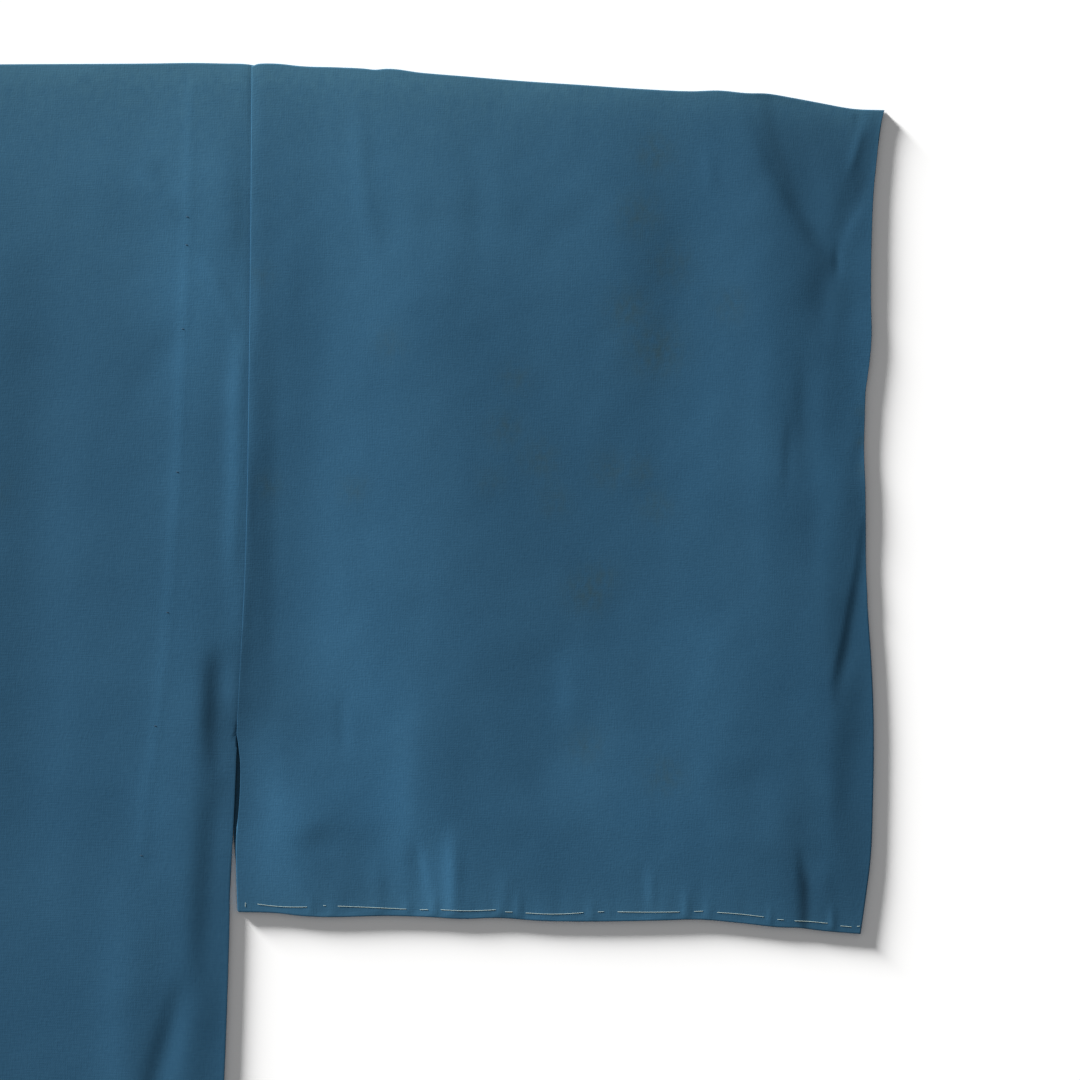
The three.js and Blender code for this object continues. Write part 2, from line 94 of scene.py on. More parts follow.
# %% Lengths
BODY_LENGTH = SHOULDER_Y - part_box("body_left")[0].y
ARMHOLE = 0.379  # depth to which body and sleeve are sewn together
SLEEVE_ROOT = 0.330  # half at which the sleeve starts
SLEEVE_DEPTH = 0.477  # sleeve length beside the body
CUFF_TOP = 0.025  # the top fold slips down this far towards the cuff
CUFF_BOTTOM = 0.4895
CUFF_STOP = CUFF_TOP + 0.284  # the hand opening ends here, and the cuff is sewn shut below
print("body length:", round(BODY_LENGTH, 3), "hand opening:", round(CUFF_STOP - CUFF_TOP, 3))

# %% Heights of the layers
SILK = 0.0002  # thickness of the cloth that is made here
LAYER = 0.001  # thickness of a solid layer
GAP = 0.0003
FRONT_MID = 2 * LAYER + GAP - SILK / 2  # middle of the cloth of a front layer that lies flat
BACK_MID = SILK / 2
MIDDLE = (FRONT_MID + BACK_MID) / 2
print("front layer at", FRONT_MID, "back layer at", BACK_MID)

# %% [markdown]
# ## Outlines
#
# No edge of laid cloth is quite straight. An outline could be a curve drawn by hand in the window.
# Here it is a short table of places and the size at each, because a table is easy to correct
# where an edge is measured, and one function reads a smooth curve through the rows of any of them.

# %% Reading a table, and soft steps
def follow(table, place):
    """Smooth value of an outline at one or many places."""
    known, wanted = np.array(table, float).T
    slopes = np.gradient(wanted, known)
    k = np.clip(np.searchsorted(known, place) - 1, 0, len(known) - 2)
    span = known[k + 1] - known[k]
    t = np.clip((place - known[k]) / span, 0, 1)
    rise = 3 * t**2 - 2 * t**3
    bend = span * (slopes[k] * (t**3 - 2 * t**2 + t) + slopes[k + 1] * (t**3 - t**2))
    return wanted[k] * (1 - rise) + wanted[k + 1] * rise + bend


def ease(x):
    """0 below 0, 1 above 1 and a soft step between."""
    t = np.clip(x, 0, 1)
    return t * t * (3 - 2 * t)


def mix(a, b, share):
    return a * (1 - share) + b * share


def either(a, b):
    """1 if either share is 1, and smooth between."""
    return 1 - (1 - a) * (1 - b)


def above(stop, depth, fade):
    """1 at depths above a stop, 0 below it, with a soft end of a length."""
    return ease((stop - depth) / fade)


print("a soft step, a quarter and half of the way:", ease(0.25), ease(0.5))

# %% The body's side, which the sleeve starts from
BODY_SIDE = [  # depth, half of the body's side there
    (0, 0.3300), (0.160, 0.3286), (0.280, 0.3263), (0.379, 0.3214), (0.434, 0.3190),
    (0.462, 0.3173), (0.482, 0.3170), (0.530, 0.3156), (0.700, 0.3080), (1.290, 0.3050),
]


def side_half(depth):
    return follow(BODY_SIDE, depth)


print("half of the body at the armhole's end:", side_half(ARMHOLE).round(4))

# %% [markdown]
# ## Creases
#
# Cloth that has been folded away and laid out again keeps soft ridges and troughs. A simulation
# would not put them where they are wanted, and sculpting could not be repeated, so each is listed
# one by one: a line over the cloth, a height, and how far it fades towards the body and towards the
# cuff. A short fade on one side makes that side steep, which is what a sharp crease is.

# %% Height that creases give
Crease = namedtuple("Crease", "line near far rise")  # line: (half, depth) points
TAPER = 2.5  # a crease runs out over its width times this, or its length divided by this


def near_line(points, half, depth):
    """Of many places: the distance from a line, the side of it, and the length along it."""
    steps = np.diff(points, axis=0)
    lengths = np.hypot(steps[:, 0], steps[:, 1])
    reached = np.concatenate([[0], np.cumsum(lengths)])
    nearest = np.full(half.shape, np.inf)
    aside = np.zeros_like(half)
    along = np.zeros_like(half)
    for start, step, length, before in zip(points, steps, lengths, reached):
        away = (half - start[0], depth - start[1])
        share = np.clip((away[0] * step[0] + away[1] * step[1]) / length**2, 0, 1)
        distance = np.hypot(away[0] - share * step[0], away[1] - share * step[1])
        outward = np.sign((away[0] * step[1] - away[1] * step[0]) * np.sign(step[1]))
        closer = distance < nearest
        nearest = np.where(closer, distance, nearest)
        aside = np.where(closer, distance * outward, aside)
        along = np.where(closer, before + share * length, along)
    return aside, along, reached[-1]


def crease_height(creases, half, depth):
    """Sum of all creases at many places at once."""
    height = np.zeros_like(half)
    for crease in creases:
        aside, along, whole = near_line(np.array(crease.line), half, depth)
        end = min(whole / TAPER, TAPER * (crease.near + crease.far))
        taper = ease(along / end) * ease((whole - along) / end)
        fade = np.where(aside < 0, crease.near, crease.far)
        height += crease.rise * taper * np.exp(-2 * (aside / fade) ** 2)
    return height


ridge = Crease([(0, 0), (0, 0.1)], 0.010, 0.020, 0.001)
print("a ridge 5 mm to either side of its line:",
      crease_height([ridge], np.array([-0.005, 0.005]), np.array([0.05, 0.05])).round(5))

# %% Unevenness between the creases
BROAD_WAVES, SMALL_WAVES = 0.00022, 0.00008  # heights of the low waves all over the cloth


def waver(half, depth, size, seed):
    """Soft random height of about 1, with waves of a size."""
    flat = zip((half / size).ravel().tolist(), (depth / size).ravel().tolist())
    values = [noise.noise(Vector((x, y, seed))) for x, y in flat]
    return np.array(values).reshape(half.shape)


def unevenness(half, depth, broad, small, seed):
    """Low waves of two sizes, so that nothing is quite flat."""
    return (BROAD_WAVES * waver(half, depth, broad, seed)
            + SMALL_WAVES * waver(half, depth, small, seed))


print("waver at one place:", waver(np.array([0.3]), np.array([0.1]), 0.045, 3.1).round(3))

# %% [markdown]
# ## Laying a width of cloth
#
# Body and sleeves are each one width of silk. They could be made as a plan cut out of a plane and
# thickened, but then no thread of the weave would know where it runs. So the start is a flat grid,
# which is the silk as it is cut. Its rows run up the back layer, over the fold and down the front
# layer, its columns from one edge to the other, and every point is then moved to where it lies.
# The outermost columns are turned in under the edge, as a hem is, so that an open edge shows a
# rounded fold and not a raw cut. Rows and columns are close together near the edges, where the
# cloth bends sharply, and wider apart elsewhere.

# %% Places of rows and columns
EDGE_PLACES = (0, 0.00006, 0.00018, 0.0005, 0.0010, 0.0020, 0.0034, 0.0050)
TUCK_PLACES = (0.0062, 0.0030, 0.0010, 0.0002)  # the turned-in part, from its raw end to the fold
Grid = namedtuple("Grid", "columns turned_column rows layer turned_row")


def edge_to_edge(length, *stretches):
    """Distances from one edge to the other: fine at both, and stretches of (end, step) between."""
    edge = np.array(EDGE_PLACES)
    middle = []
    start = edge[-1]
    for end, step in stretches:
        stop = min(end, length - edge[-1])
        count = max(round((stop - start) / step), 1)
        middle.append(np.linspace(start, stop, count + 1)[1:])
        start = stop
    return np.concatenate([edge, *middle, (length - edge[:-1])[::-1]])


def with_tucks(distances, length, both=True):
    """Adds the turned-in places at the far edge, or at both, and says which are turned in."""
    tuck = np.array(TUCK_PLACES)
    ends = [tuck if both else tuck[:0], distances, (length - tuck)[::-1]]
    turned = [np.ones(len(ends[0])), np.zeros(len(distances)), np.ones(len(tuck))]
    return np.concatenate(ends), np.concatenate(turned) > 0


def two_layers(length, front_stretches, back_stretches):
    """Rows from the back layer's end over the top fold to the front layer's end: the distance
    from the fold, the layer (1 in front, -1 behind) and whether the row is turned in."""
    front, front_turned = with_tucks(edge_to_edge(length, *front_stretches), length, both=False)
    back, back_turned = with_tucks(edge_to_edge(length, *back_stretches), length, both=False)
    distance = np.concatenate([back[:0:-1], front])
    layer = np.concatenate([-np.ones(len(back) - 1), np.ones(len(front))])
    return distance, layer, np.concatenate([back_turned[:0:-1], front_turned])


print("distances across a 50 mm strip:", edge_to_edge(0.050, (0.050, 0.010)).round(4))

# %% Rounding at an edge
TUCK_DROP = 0.00027  # the turned-in part lies this far under the surface
SEAM_HALF = 0.00013  # two sewn edges meet this far above and below their common height
SEAM_SPREAD = 0.003  # below a top fold they come that far apart over this length
EDGE_ROUND = 0.00024  # radius over which a layer rounds off at a closed edge
DENT_DEPTH = 0.0005


def rounded(distance, radius=EDGE_ROUND):
    """Share of a layer's full height at a distance from a closed edge, as a quarter circle."""
    t = np.clip(distance / radius, 0, 1)
    return np.sqrt(1 - (1 - t) ** 2)


def dent(distance):
    """How far the fold itself draws in at a closed edge, so that its two layers end as lips."""
    return DENT_DEPTH * np.clip(1 - distance / EDGE_PLACES[2], 0, 1)


print("height at a third of the rounding:", rounded(EDGE_ROUND / 3).round(2))

# %% From a flat grid to laid cloth
def deselect_all():
    bpy.ops.object.select_all(action="DESELECT")


def cloth_grid(name, columns, rows):
    """A flat grid with that many columns and rows of points."""
    deselect_all()
    bpy.ops.mesh.primitive_grid_add(x_subdivisions=columns - 1, y_subdivisions=rows - 1, size=1)
    cloth = bpy.context.object
    cloth.name = name
    cloth.data.name = name
    assert len(cloth.data.vertices) == columns * rows, len(cloth.data.vertices)
    return cloth


def move_points(cloth, x, y, z):
    points = np.stack([x, y, z], axis=-1).reshape(-1, 3)
    cloth.data.vertices.foreach_set("co", points.ravel())
    cloth.data.update()


def set_cut_uv(cloth, across, along):
    """The UV map holds each point's place on the flat cut, in metres."""
    uv = np.stack([across, along], axis=-1).reshape(-1, 2)
    corners = np.empty(len(cloth.data.loops), int)
    cloth.data.loops.foreach_get("vertex_index", corners)
    cloth.data.uv_layers[0].data.foreach_set("uv", uv[corners].ravel())


def set_mask(cloth, name, values):
    mask = cloth.data.attributes.new(name, "FLOAT", "POINT")
    mask.data.foreach_set("value", np.ascontiguousarray(values, np.float32).ravel())


# %% The wall of the cloth
def make_active(piece):
    deselect_all()
    piece.select_set(True)
    bpy.context.view_layer.objects.active = piece


def thicken(cloth, thickness=SILK):
    """Gives the sheet its wall and smooths its shading."""
    make_active(cloth)
    wall = cloth.modifiers.new("wall", "SOLIDIFY")
    wall.thickness = thickness
    wall.offset = 0
    bpy.ops.object.modifier_apply(modifier=wall.name)
    bpy.ops.object.shade_smooth_by_angle(angle=math.radians(60))
    print(f"{cloth.name}: {sum(len(p.vertices) - 2 for p in cloth.data.polygons)} triangles")


# %% [markdown]
# ## Marks of age
#
# Old silk fades along its folds, keeps lines where it was pressed, and picks up faint stains. They
# could be painted into an image, but an image has one fixed sharpness. Here each mark is a soft
# spot or line given in a table and stored on the cloth's points as a mask, and the material breaks
# up its outline later. There are three masks: faded, dye (lighter or darker) and stained. The
# faded and dye masks also hold painted light and shade: paler where the cloth faces the lamp,
# darker in troughs and folds that face away from it.

# %% Dye, painted light and shade, and stains
TOP_FADE_AND_LIGHT, TOP_FADE_AND_LIGHT_WIDTH = 0.12, 0.018  # paler along the top folds: partly faded dye, partly painted light on the fold's rounding


def dies_away(strength, width, distance):
    """Strongest at an edge, and weaker away from it."""
    return strength * np.exp(-distance / width)


def faded_and_lit_top(from_fold):
    return dies_away(TOP_FADE_AND_LIGHT, TOP_FADE_AND_LIGHT_WIDTH, from_fold)


def dye_and_shading_mask(patches, half, depth):
    """Sum of broad soft patches: half, depth, reach across and down, change of tone. The patches are
    partly uneven dye and partly painted light and shade.
    """
    mask = np.zeros_like(half)
    for at_half, at_depth, across, down, change in patches:
        mask += change * np.exp(-(((half - at_half) / across) ** 2) - ((depth - at_depth) / down) ** 2)
    return mask


def spot_mask(spots, half, depth):
    """Strongest of many stains: half, depth, radius, strength."""
    mask = np.zeros_like(half)
    for at_half, at_depth, radius, strength in spots:
        squared = (half - at_half) ** 2 + (depth - at_depth) ** 2
        mask = np.maximum(mask, strength * np.exp(-squared / radius**2))
    return mask


def store_marks(cloth, in_front, marks, behind):
    """Stores the masks of the front layer, and plain values on the back layer."""
    for name, values, plain in zip(("faded_and_lit", "dye_and_shading", "stained"), marks, behind):
        set_mask(cloth, name, np.where(in_front, values, plain))


print("paler at the fold and 2 cm below it:", faded_and_lit_top(0), round(faded_and_lit_top(0.02), 3))

# %% [markdown]
# ## The sleeves
#
# A sleeve is one width of silk, folded at its top and sewn along its bottom. It could be two flat
# panels with a rounded rim, but then fold, slit and hand opening would all look alike. So the plan
# of one grid is filled in from its four edges, with its rows along the top fold and the bottom
# seam (this is called a Coons patch). The front layer gets a little slack and the creases, and the
# back layer rests flat. Above the slit's end the two layers stay apart at the body, and above the
# end of the hand opening they stay apart at the cuff. Below, they meet in a seam.

# %% Outlines of a sleeve
SLEEVE_INNER = [  # depth, half of the sleeve's free inner edge there
    (0.379, 0.3216), (0.393, 0.3231), (0.404, 0.3231), (0.422, 0.3220), (0.434, 0.3206),
    (0.455, 0.3206), (0.477, 0.3213),
]
SLEEVE_TOP = [  # distance across the sleeve, depth of the top fold there
    (0, 0), (0.003, -0.0010), (0.008, -0.0013), (0.016, -0.0010), (0.026, 0.0001),
    (0.049, 0.0009), (0.063, 0.0016), (0.069, 0.0022), (0.075, 0.0017), (0.095, 0.0039),
    (0.118, 0.0058), (0.152, 0.0086), (0.187, 0.0109), (0.218, 0.0130), (0.249, 0.0143),
    (0.262, 0.0139), (0.279, 0.0154), (0.289, 0.0156), (0.304, 0.0180), (0.319, 0.0208),
    (0.339, 0.0243), (0.356, CUFF_TOP),
]
SLEEVE_BOTTOM = [  # distance across, depth of the sewn bottom edge there
    (-0.009, SLEEVE_DEPTH), (0.015, 0.4778), (0.026, 0.4791), (0.083, 0.4793), (0.100, 0.4799),
    (0.116, 0.4809), (0.139, 0.4804), (0.162, 0.4820), (0.184, 0.4824), (0.229, 0.4818),
    (0.252, 0.4813), (0.275, 0.4833), (0.298, 0.4857), (0.308, 0.4860), (0.320, 0.4875),
    (0.343, CUFF_BOTTOM),
]
CUFF_EDGE = [  # depth, distance across the sleeve to the cuff there
    (0.025, 0.3559), (0.032, 0.3542), (0.053, 0.3516), (0.069, 0.3500), (0.102, 0.3486),
    (0.132, 0.3483), (0.154, 0.3486), (0.175, 0.3465), (0.183, 0.3453), (0.196, 0.3449),
    (0.217, 0.3444), (0.236, 0.3451), (0.259, 0.3454), (0.281, 0.3455), (0.312, 0.3471),
    (0.335, 0.3487), (0.363, 0.3499), (0.414, 0.3496), (0.448, 0.3482), (0.468, 0.3457),
    (0.4895, 0.3426),
]
SLIT_END = 0.436  # below the armhole the sleeve's two layers still stay apart to this depth
SLIT_BACK_SHOWS = [  # depth, how far the back layer reaches past the front one there
    (0.372, 0), (0.386, 0.0025), (0.396, 0.0030), (0.408, 0.0030), (0.420, 0.0028),
    (0.430, 0.0021), (0.442, 0),
]
SLEEVE_WIDTH = CUFF_EDGE[0][1]
print("sleeve:", SLEEVE_WIDTH, "by", SLEEVE_DEPTH, "m")

# %% Plan of a sleeve
SEAM_OVERLAP = 0.0004  # the sleeve's folded edge lies this far over the body at the armhole seam


def sleeve_inner_edge(share, front):
    depth = share * SLEEVE_DEPTH
    sewn = side_half(depth) - SEAM_OVERLAP
    free = follow(SLEEVE_INNER, depth) - (0 if front else follow(SLIT_BACK_SHOWS, depth))
    return np.stack([np.where(depth < ARMHOLE, sewn, free), depth], axis=-1)


def cuff_edge(share):
    depth = mix(CUFF_TOP, CUFF_BOTTOM, share)
    return np.stack([SLEEVE_ROOT + follow(CUFF_EDGE, depth), depth], axis=-1)


def level_edge(table, start, end, share):
    half = mix(start[0], end[0], share)
    return np.stack([half, follow(table, half - SLEEVE_ROOT)], axis=-1)


def sleeve_plan(across, down, front):
    """Half and depth of points, from their shares across and down the sleeve."""
    corners = [sleeve_inner_edge(0, True), cuff_edge(0), sleeve_inner_edge(1, True), cuff_edge(1)]
    a = across[None, :, None]
    d = down[:, None, None]
    top = level_edge(SLEEVE_TOP, corners[0], corners[1], across)[None]
    bottom = level_edge(SLEEVE_BOTTOM, corners[2], corners[3], across)[None]
    inner = sleeve_inner_edge(down, front)[:, None]
    cuff = cuff_edge(down)[:, None]
    twist = mix(mix(corners[0], corners[1], a), mix(corners[2], corners[3], a), d)
    plan = mix(inner, cuff, a) + mix(top, bottom, d) - twist
    return plan[..., 0], plan[..., 1]


# %% Rows and columns of a sleeve
def sleeve_grid(step):
    """Finer towards the cuff, the top and the bottom, where the creases are."""
    columns, turned_column = with_tucks(
        edge_to_edge(SLEEVE_WIDTH, (0.270, 0.92 * step), (SLEEVE_WIDTH, 0.6 * step)), SLEEVE_WIDTH)
    rows, layer, turned_row = two_layers(
        SLEEVE_DEPTH, [(0.130, 1.25 * step), (0.410, 1.9 * step), (SLEEVE_DEPTH, 1.1 * step)],
        [(SLEEVE_DEPTH, 9 * step)])
    return Grid(columns, turned_column, rows, layer, turned_row)


def sleeve_places(grid):
    """Half and depth of each point, and its distances from inner edge, cuff, top and bottom."""
    across, down = grid.columns / SLEEVE_WIDTH, grid.rows / SLEEVE_DEPTH
    plans = zip(sleeve_plan(across, down, True), sleeve_plan(across, down, False))
    half, depth = (np.where(grid.layer[:, None] > 0, front, back) for front, back in plans)
    from_inner, from_top = grid.columns[None, :], grid.rows[:, None]
    distance = np.broadcast_arrays(
        from_inner, SLEEVE_WIDTH - from_inner, from_top, SLEEVE_DEPTH - from_top)
    return half, depth, distance


print("columns and rows:", len(sleeve_grid(0.0022).columns), len(sleeve_grid(0.0022).rows))

# %% Slack of a sleeve
SLACK = 0.0009  # the fullness of the cloth, away from its closed edges
SEAM_SLACK = 0.0007  # the same beside the armhole seam
SLACK_MARGIN = 0.026  # it grows over this length from a side edge
END_MARGIN = 0.075  # and over this one from the top fold and the bottom seam
SLACK_AT_BODY, SLACK_AT_CUFF = 0.75, 0.3  # share of the slack that an open edge has too
OPENING_FADE = 0.012  # the slack comes down over this length where an opening ends
FLATTEN = 0.78  # all creases are this much lower than their tables say
HELD_TOP, HELD_BOTTOM, HELD_SEAM = 0.006, 0.003, 0.006  # and reach full height this far inside


def seam_level(depth):
    """Height above FRONT_MID that body and sleeve share at the armhole seam."""
    return SEAM_SLACK * ease(depth / END_MARGIN) * above(ARMHOLE, depth, SLACK_MARGIN)


def soft_floor(height, least=0.0001):
    """Keeps a height above 0 without a corner."""
    return (height + np.sqrt(height**2 + (4 * least) ** 2)) / 2


def sleeve_rise(half, depth, distance, creases, seed):
    """Height of the front layer above its flat level."""
    from_inner, from_cuff, from_top, from_bottom = distance
    open_inner = above(ARMHOLE, depth, OPENING_FADE)
    open_cuff = above(CUFF_STOP, depth, OPENING_FADE)
    spread = (either(ease(from_inner / SLACK_MARGIN), SLACK_AT_BODY * open_inner)
              * either(ease(from_cuff / SLACK_MARGIN), SLACK_AT_CUFF * open_cuff))
    slack = SLACK * spread * ease(from_top / END_MARGIN) * ease(from_bottom / END_MARGIN)
    near_seam = 1 - ease(from_inner / SLACK_MARGIN)
    slack = mix(slack, seam_level(depth), near_seam * open_inner)
    held = ease(from_top / HELD_TOP) * ease(from_bottom / HELD_BOTTOM) * ease(from_inner / HELD_SEAM)
    lively = unevenness(half, depth, broad=0.045, small=0.016, seed=seed)
    return soft_floor(slack + FLATTEN * (crease_height(creases, half, depth) + lively) * held)


print("the seam's height in the middle of the armhole:", seam_level(ARMHOLE / 2))

# %% Heights of a sleeve
LIP_RISE = 0.00040  # the folded edge lies this much over the body along the armhole seam
LIP_WIDTH = 0.045
LIP_FADE = 0.090  # and comes down to it again over this length above the slit's end


def open_at_body(depth):
    return above(SLIT_END, depth, 0.008)


def open_at_cuff(depth):
    return above(CUFF_STOP, depth, 0.010)


def sleeve_heights(grid, places, creases, seed):
    """Height of each point. Both layers come down to one seam where an edge is closed."""
    half, depth, distance = places
    from_inner, from_cuff, from_top, from_bottom = distance
    layer = grid.layer[:, None]
    open_inner, open_cuff = open_at_body(depth), open_at_cuff(depth)
    front = FRONT_MID + sleeve_rise(half, depth, distance, creases, seed)
    front += LIP_RISE * above(SLIT_END, depth, LIP_FADE) * (1 - ease(from_inner / LIP_WIDTH))
    full = (either(rounded(from_inner), open_inner) * either(rounded(from_cuff), open_cuff)
            * rounded(from_top) * rounded(from_bottom))
    seam = MIDDLE + layer * SEAM_HALF * ease(from_top / SEAM_SPREAD)
    surface = seam + (np.where(layer > 0, front, BACK_MID) - seam) * full
    open_here = np.where(from_inner < from_cuff, open_inner, open_cuff)
    turned = mix(seam, surface - layer * TUCK_DROP, open_here)
    surface = np.where(grid.turned_column[None, :], turned, surface)
    return np.where(grid.turned_row[:, None], seam, surface)


# %% Edges drawn in to their seams
CORNER_ROUND = 0.0015  # radius of the free lower corner beside the body


def draw_in(half, depth, distance):
    beside_corner = np.clip(1 - distance[3] / CORNER_ROUND, 0, 1)
    pull = CORNER_ROUND * (1 - np.sqrt(1 - beside_corner**2))
    half = half + pull * (1 - ease(distance[0] / (4 * CORNER_ROUND)))
    dents = [dent(d) for d in distance]
    half = half + dents[0] * (1 - open_at_body(depth)) - dents[1] * (1 - open_at_cuff(depth))
    return half, depth + dents[2] - dents[3]


print("the corner's point moves by", CORNER_ROUND + DENT_DEPTH)

# %% Laying a sleeve
FOLD_FADE_AND_LIGHT = (0.8, 0.011)  # strength and width of the pale band on every top fold: partly faded dye, partly painted light


def sleeve_fading_and_light(half, distance):
    """Paler along the top fold, most of all near the body, and a little paler at the hem. Along the
    fold it is partly faded dye and partly painted light; the broad stretch near the body is painted
    light on the lamp's side.
    """
    _, _, from_top, from_bottom = distance
    near_body = 1 - 0.75 * ease((half - 0.40) / 0.24)
    top = near_body * dies_away(0.55, 0.085, from_top) + dies_away(*FOLD_FADE_AND_LIGHT, from_top)
    return top + dies_away(0.3, 0.012, from_bottom)


def lay_sleeve(name, side, step, seed, creases, dye_and_shading, spots, painted_light_lines=()):
    """side is 1 for the wearer's left and -1 for the right."""
    grid = sleeve_grid(step)
    places = sleeve_places(grid)
    z = sleeve_heights(grid, places, creases, seed)
    distance = places[2]
    half, depth = draw_in(*places)
    cloth = cloth_grid(name, len(grid.columns), len(grid.rows))
    move_points(cloth, side * half, SHOULDER_Y - depth, z)
    set_cut_uv(cloth, *np.broadcast_arrays(grid.columns[None, :], (grid.layer * grid.rows)[:, None]))
    # painted highlight and shade along lines, and partly painted light along the top fold, join the
    # dye mask
    shade = crease_height(painted_light_lines, half, depth)
    dyed_and_shaded = dye_and_shading_mask(dye_and_shading, half, depth) + shade + faded_and_lit_top(grid.rows)[:, None]
    marks = (sleeve_fading_and_light(half, distance), dyed_and_shaded, spot_mask(spots, half, depth))
    store_marks(cloth, grid.layer[:, None] > 0, marks, (0.8, 0, 0.2))
    thicken(cloth)
    return cloth


# %% Creases of the left sleeve
SLEEVE_LEFT_CREASES = [
    # broad bands down the sleeve
    Crease([(0.345, 0.140), (0.345, 0.270), (0.343, 0.385)], 0.014, 0.046, -0.0009),
    Crease([(0.424, 0.000), (0.426, 0.240), (0.420, 0.350)], 0.056, 0.080, 0.0012),
    Crease([(0.428, 0.330), (0.424, 0.400), (0.421, 0.476)], 0.019, 0.034, 0.0006),
    Crease([(0.366, 0.425), (0.372, 0.470)], 0.020, 0.014, -0.0006),
    Crease([(0.502, 0.310), (0.500, 0.430)], 0.040, 0.034, -0.0006),
    Crease([(0.578, -0.010), (0.577, 0.140), (0.563, 0.270)], 0.034, 0.036, -0.0010),
    Crease([(0.622, 0.015), (0.624, 0.160), (0.620, 0.380)], 0.030, 0.042, 0.0014),
    Crease([(0.610, 0.385), (0.616, 0.440)], 0.024, 0.016, -0.0004),
    Crease([(0.641, 0.150), (0.640, 0.250)], 0.007, 0.010, -0.0003),
    Crease([(0.634, 0.190), (0.631, 0.245)], 0.005, 0.007, -0.0003),
    # the fan of pulls at the top of the cuff
    Crease([(0.604, -0.014), (0.616, 0.018), (0.630, 0.056), (0.639, 0.077), (0.649, 0.093),
            (0.662, 0.106), (0.672, 0.114)], 0.011, 0.019, -0.0018),
    Crease([(0.684, 0.018), (0.677, 0.052), (0.669, 0.078), (0.661, 0.096), (0.652, 0.112)],
           0.010, 0.006, -0.0006),
    Crease([(0.676, 0.029), (0.671, 0.046), (0.665, 0.066)], 0.004, 0.005, 0.0004),
    Crease([(0.660, 0.097), (0.659, 0.108), (0.660, 0.122)], 0.003, 0.004, -0.0003),
    Crease([(0.656, 0.100), (0.652, 0.128), (0.650, 0.160)], 0.012, 0.009, -0.0004),
    Crease([(0.669, 0.026), (0.672, 0.036)], 0.002, 0.003, -0.0003),
    # the pull at the end of the hand opening
    Crease([(0.6757, 0.250), (0.6742, 0.265), (0.6726, 0.280), (0.6687, 0.302), (0.6647, 0.324),
            (0.6599, 0.344), (0.6565, 0.362)], 0.0026, 0.0100, -0.0007),
    Crease([(0.6790, 0.184), (0.6745, 0.213), (0.6690, 0.240)], 0.006, 0.004, -0.0003),
    # towards the bottom of the cuff
    Crease([(0.6392, 0.436), (0.6402, 0.458), (0.6400, 0.530)], 0.0038, 0.0060, -0.0006),
    Crease([(0.652, 0.440), (0.653, 0.487)], 0.008, 0.009, 0.0003),
    Crease([(0.668, 0.365), (0.664, 0.470)], 0.016, 0.012, -0.0006),
    # puckers along the bottom seam
    Crease([(0.362, 0.430), (0.368, 0.460), (0.371, 0.500)], 0.012, 0.007, -0.0004),
    Crease([(0.384, 0.456), (0.383, 0.500)], 0.004, 0.006, -0.0002),
    Crease([(0.400, 0.440), (0.401, 0.500)], 0.008, 0.006, 0.0003),
    Crease([(0.420, 0.428), (0.425, 0.458), (0.424, 0.500)], 0.008, 0.004, -0.0005),
    Crease([(0.442, 0.424), (0.4435, 0.450), (0.4430, 0.500)], 0.006, 0.007, 0.0005),
    Crease([(0.456, 0.462), (0.455, 0.500)], 0.003, 0.005, -0.0002),
    Crease([(0.472, 0.448), (0.474, 0.500)], 0.006, 0.007, 0.0003),
    Crease([(0.489, 0.466), (0.488, 0.500)], 0.003, 0.003, -0.0002),
    Crease([(0.503, 0.456), (0.502, 0.500)], 0.004, 0.006, -0.0003),
    Crease([(0.523, 0.468), (0.523, 0.500)], 0.003, 0.003, 0.0002),
    Crease([(0.533, 0.462), (0.532, 0.500)], 0.005, 0.004, -0.0002),
    Crease([(0.549, 0.444), (0.551, 0.500)], 0.006, 0.004, -0.0003),
    Crease([(0.563, 0.458), (0.562, 0.500)], 0.005, 0.005, 0.0002),
    Crease([(0.583, 0.452), (0.583, 0.500)], 0.006, 0.004, -0.0003),
    Crease([(0.608, 0.460), (0.607, 0.500)], 0.005, 0.007, -0.0002),
    # tiny pleats where the basting thread hides
    Crease([(0.3630, 0.464), (0.3627, 0.492)], 0.0028, 0.0032, 0.00042),
    Crease([(0.3744, 0.468), (0.3746, 0.492)], 0.0024, 0.0026, 0.00032),
    Crease([(0.4172, 0.466), (0.4174, 0.492)], 0.0030, 0.0026, 0.00040),
    Crease([(0.4324, 0.462), (0.4321, 0.492)], 0.0026, 0.0030, 0.00038),
    Crease([(0.4690, 0.467), (0.4693, 0.494)], 0.0030, 0.0030, 0.00038),
    Crease([(0.4797, 0.461), (0.4795, 0.494)], 0.0026, 0.0032, 0.00048),
    Crease([(0.5204, 0.466), (0.5201, 0.494)], 0.0024, 0.0028, 0.00034),
    Crease([(0.5312, 0.468), (0.5314, 0.494)], 0.0028, 0.0026, 0.00034),
    Crease([(0.5550, 0.450), (0.5553, 0.482)], 0.0034, 0.0034, 0.00022),
    Crease([(0.5744, 0.460), (0.5742, 0.494)], 0.0030, 0.0030, 0.00044),
    Crease([(0.5862, 0.468), (0.5866, 0.494)], 0.0026, 0.0030, 0.00032),
    Crease([(0.6214, 0.470), (0.6216, 0.500)], 0.0024, 0.0026, 0.00032),
    Crease([(0.6562, 0.470), (0.6570, 0.502)], 0.0030, 0.0034, 0.00042),
    # faint long ones
    Crease([(0.450, 0.010), (0.462, 0.120)], 0.012, 0.014, -0.0002),
    Crease([(0.388, 0.000), (0.392, 0.070), (0.403, 0.120)], 0.008, 0.008, 0.0002),
    Crease([(0.585, 0.040), (0.589, 0.075)], 0.005, 0.006, 0.0002),
    Crease([(0.380, 0.350), (0.381, 0.395)], 0.006, 0.006, -0.0002),
    Crease([(0.506, 0.325), (0.512, 0.380)], 0.010, 0.012, 0.0003),
]
print("creases:", len(SLEEVE_LEFT_CREASES))

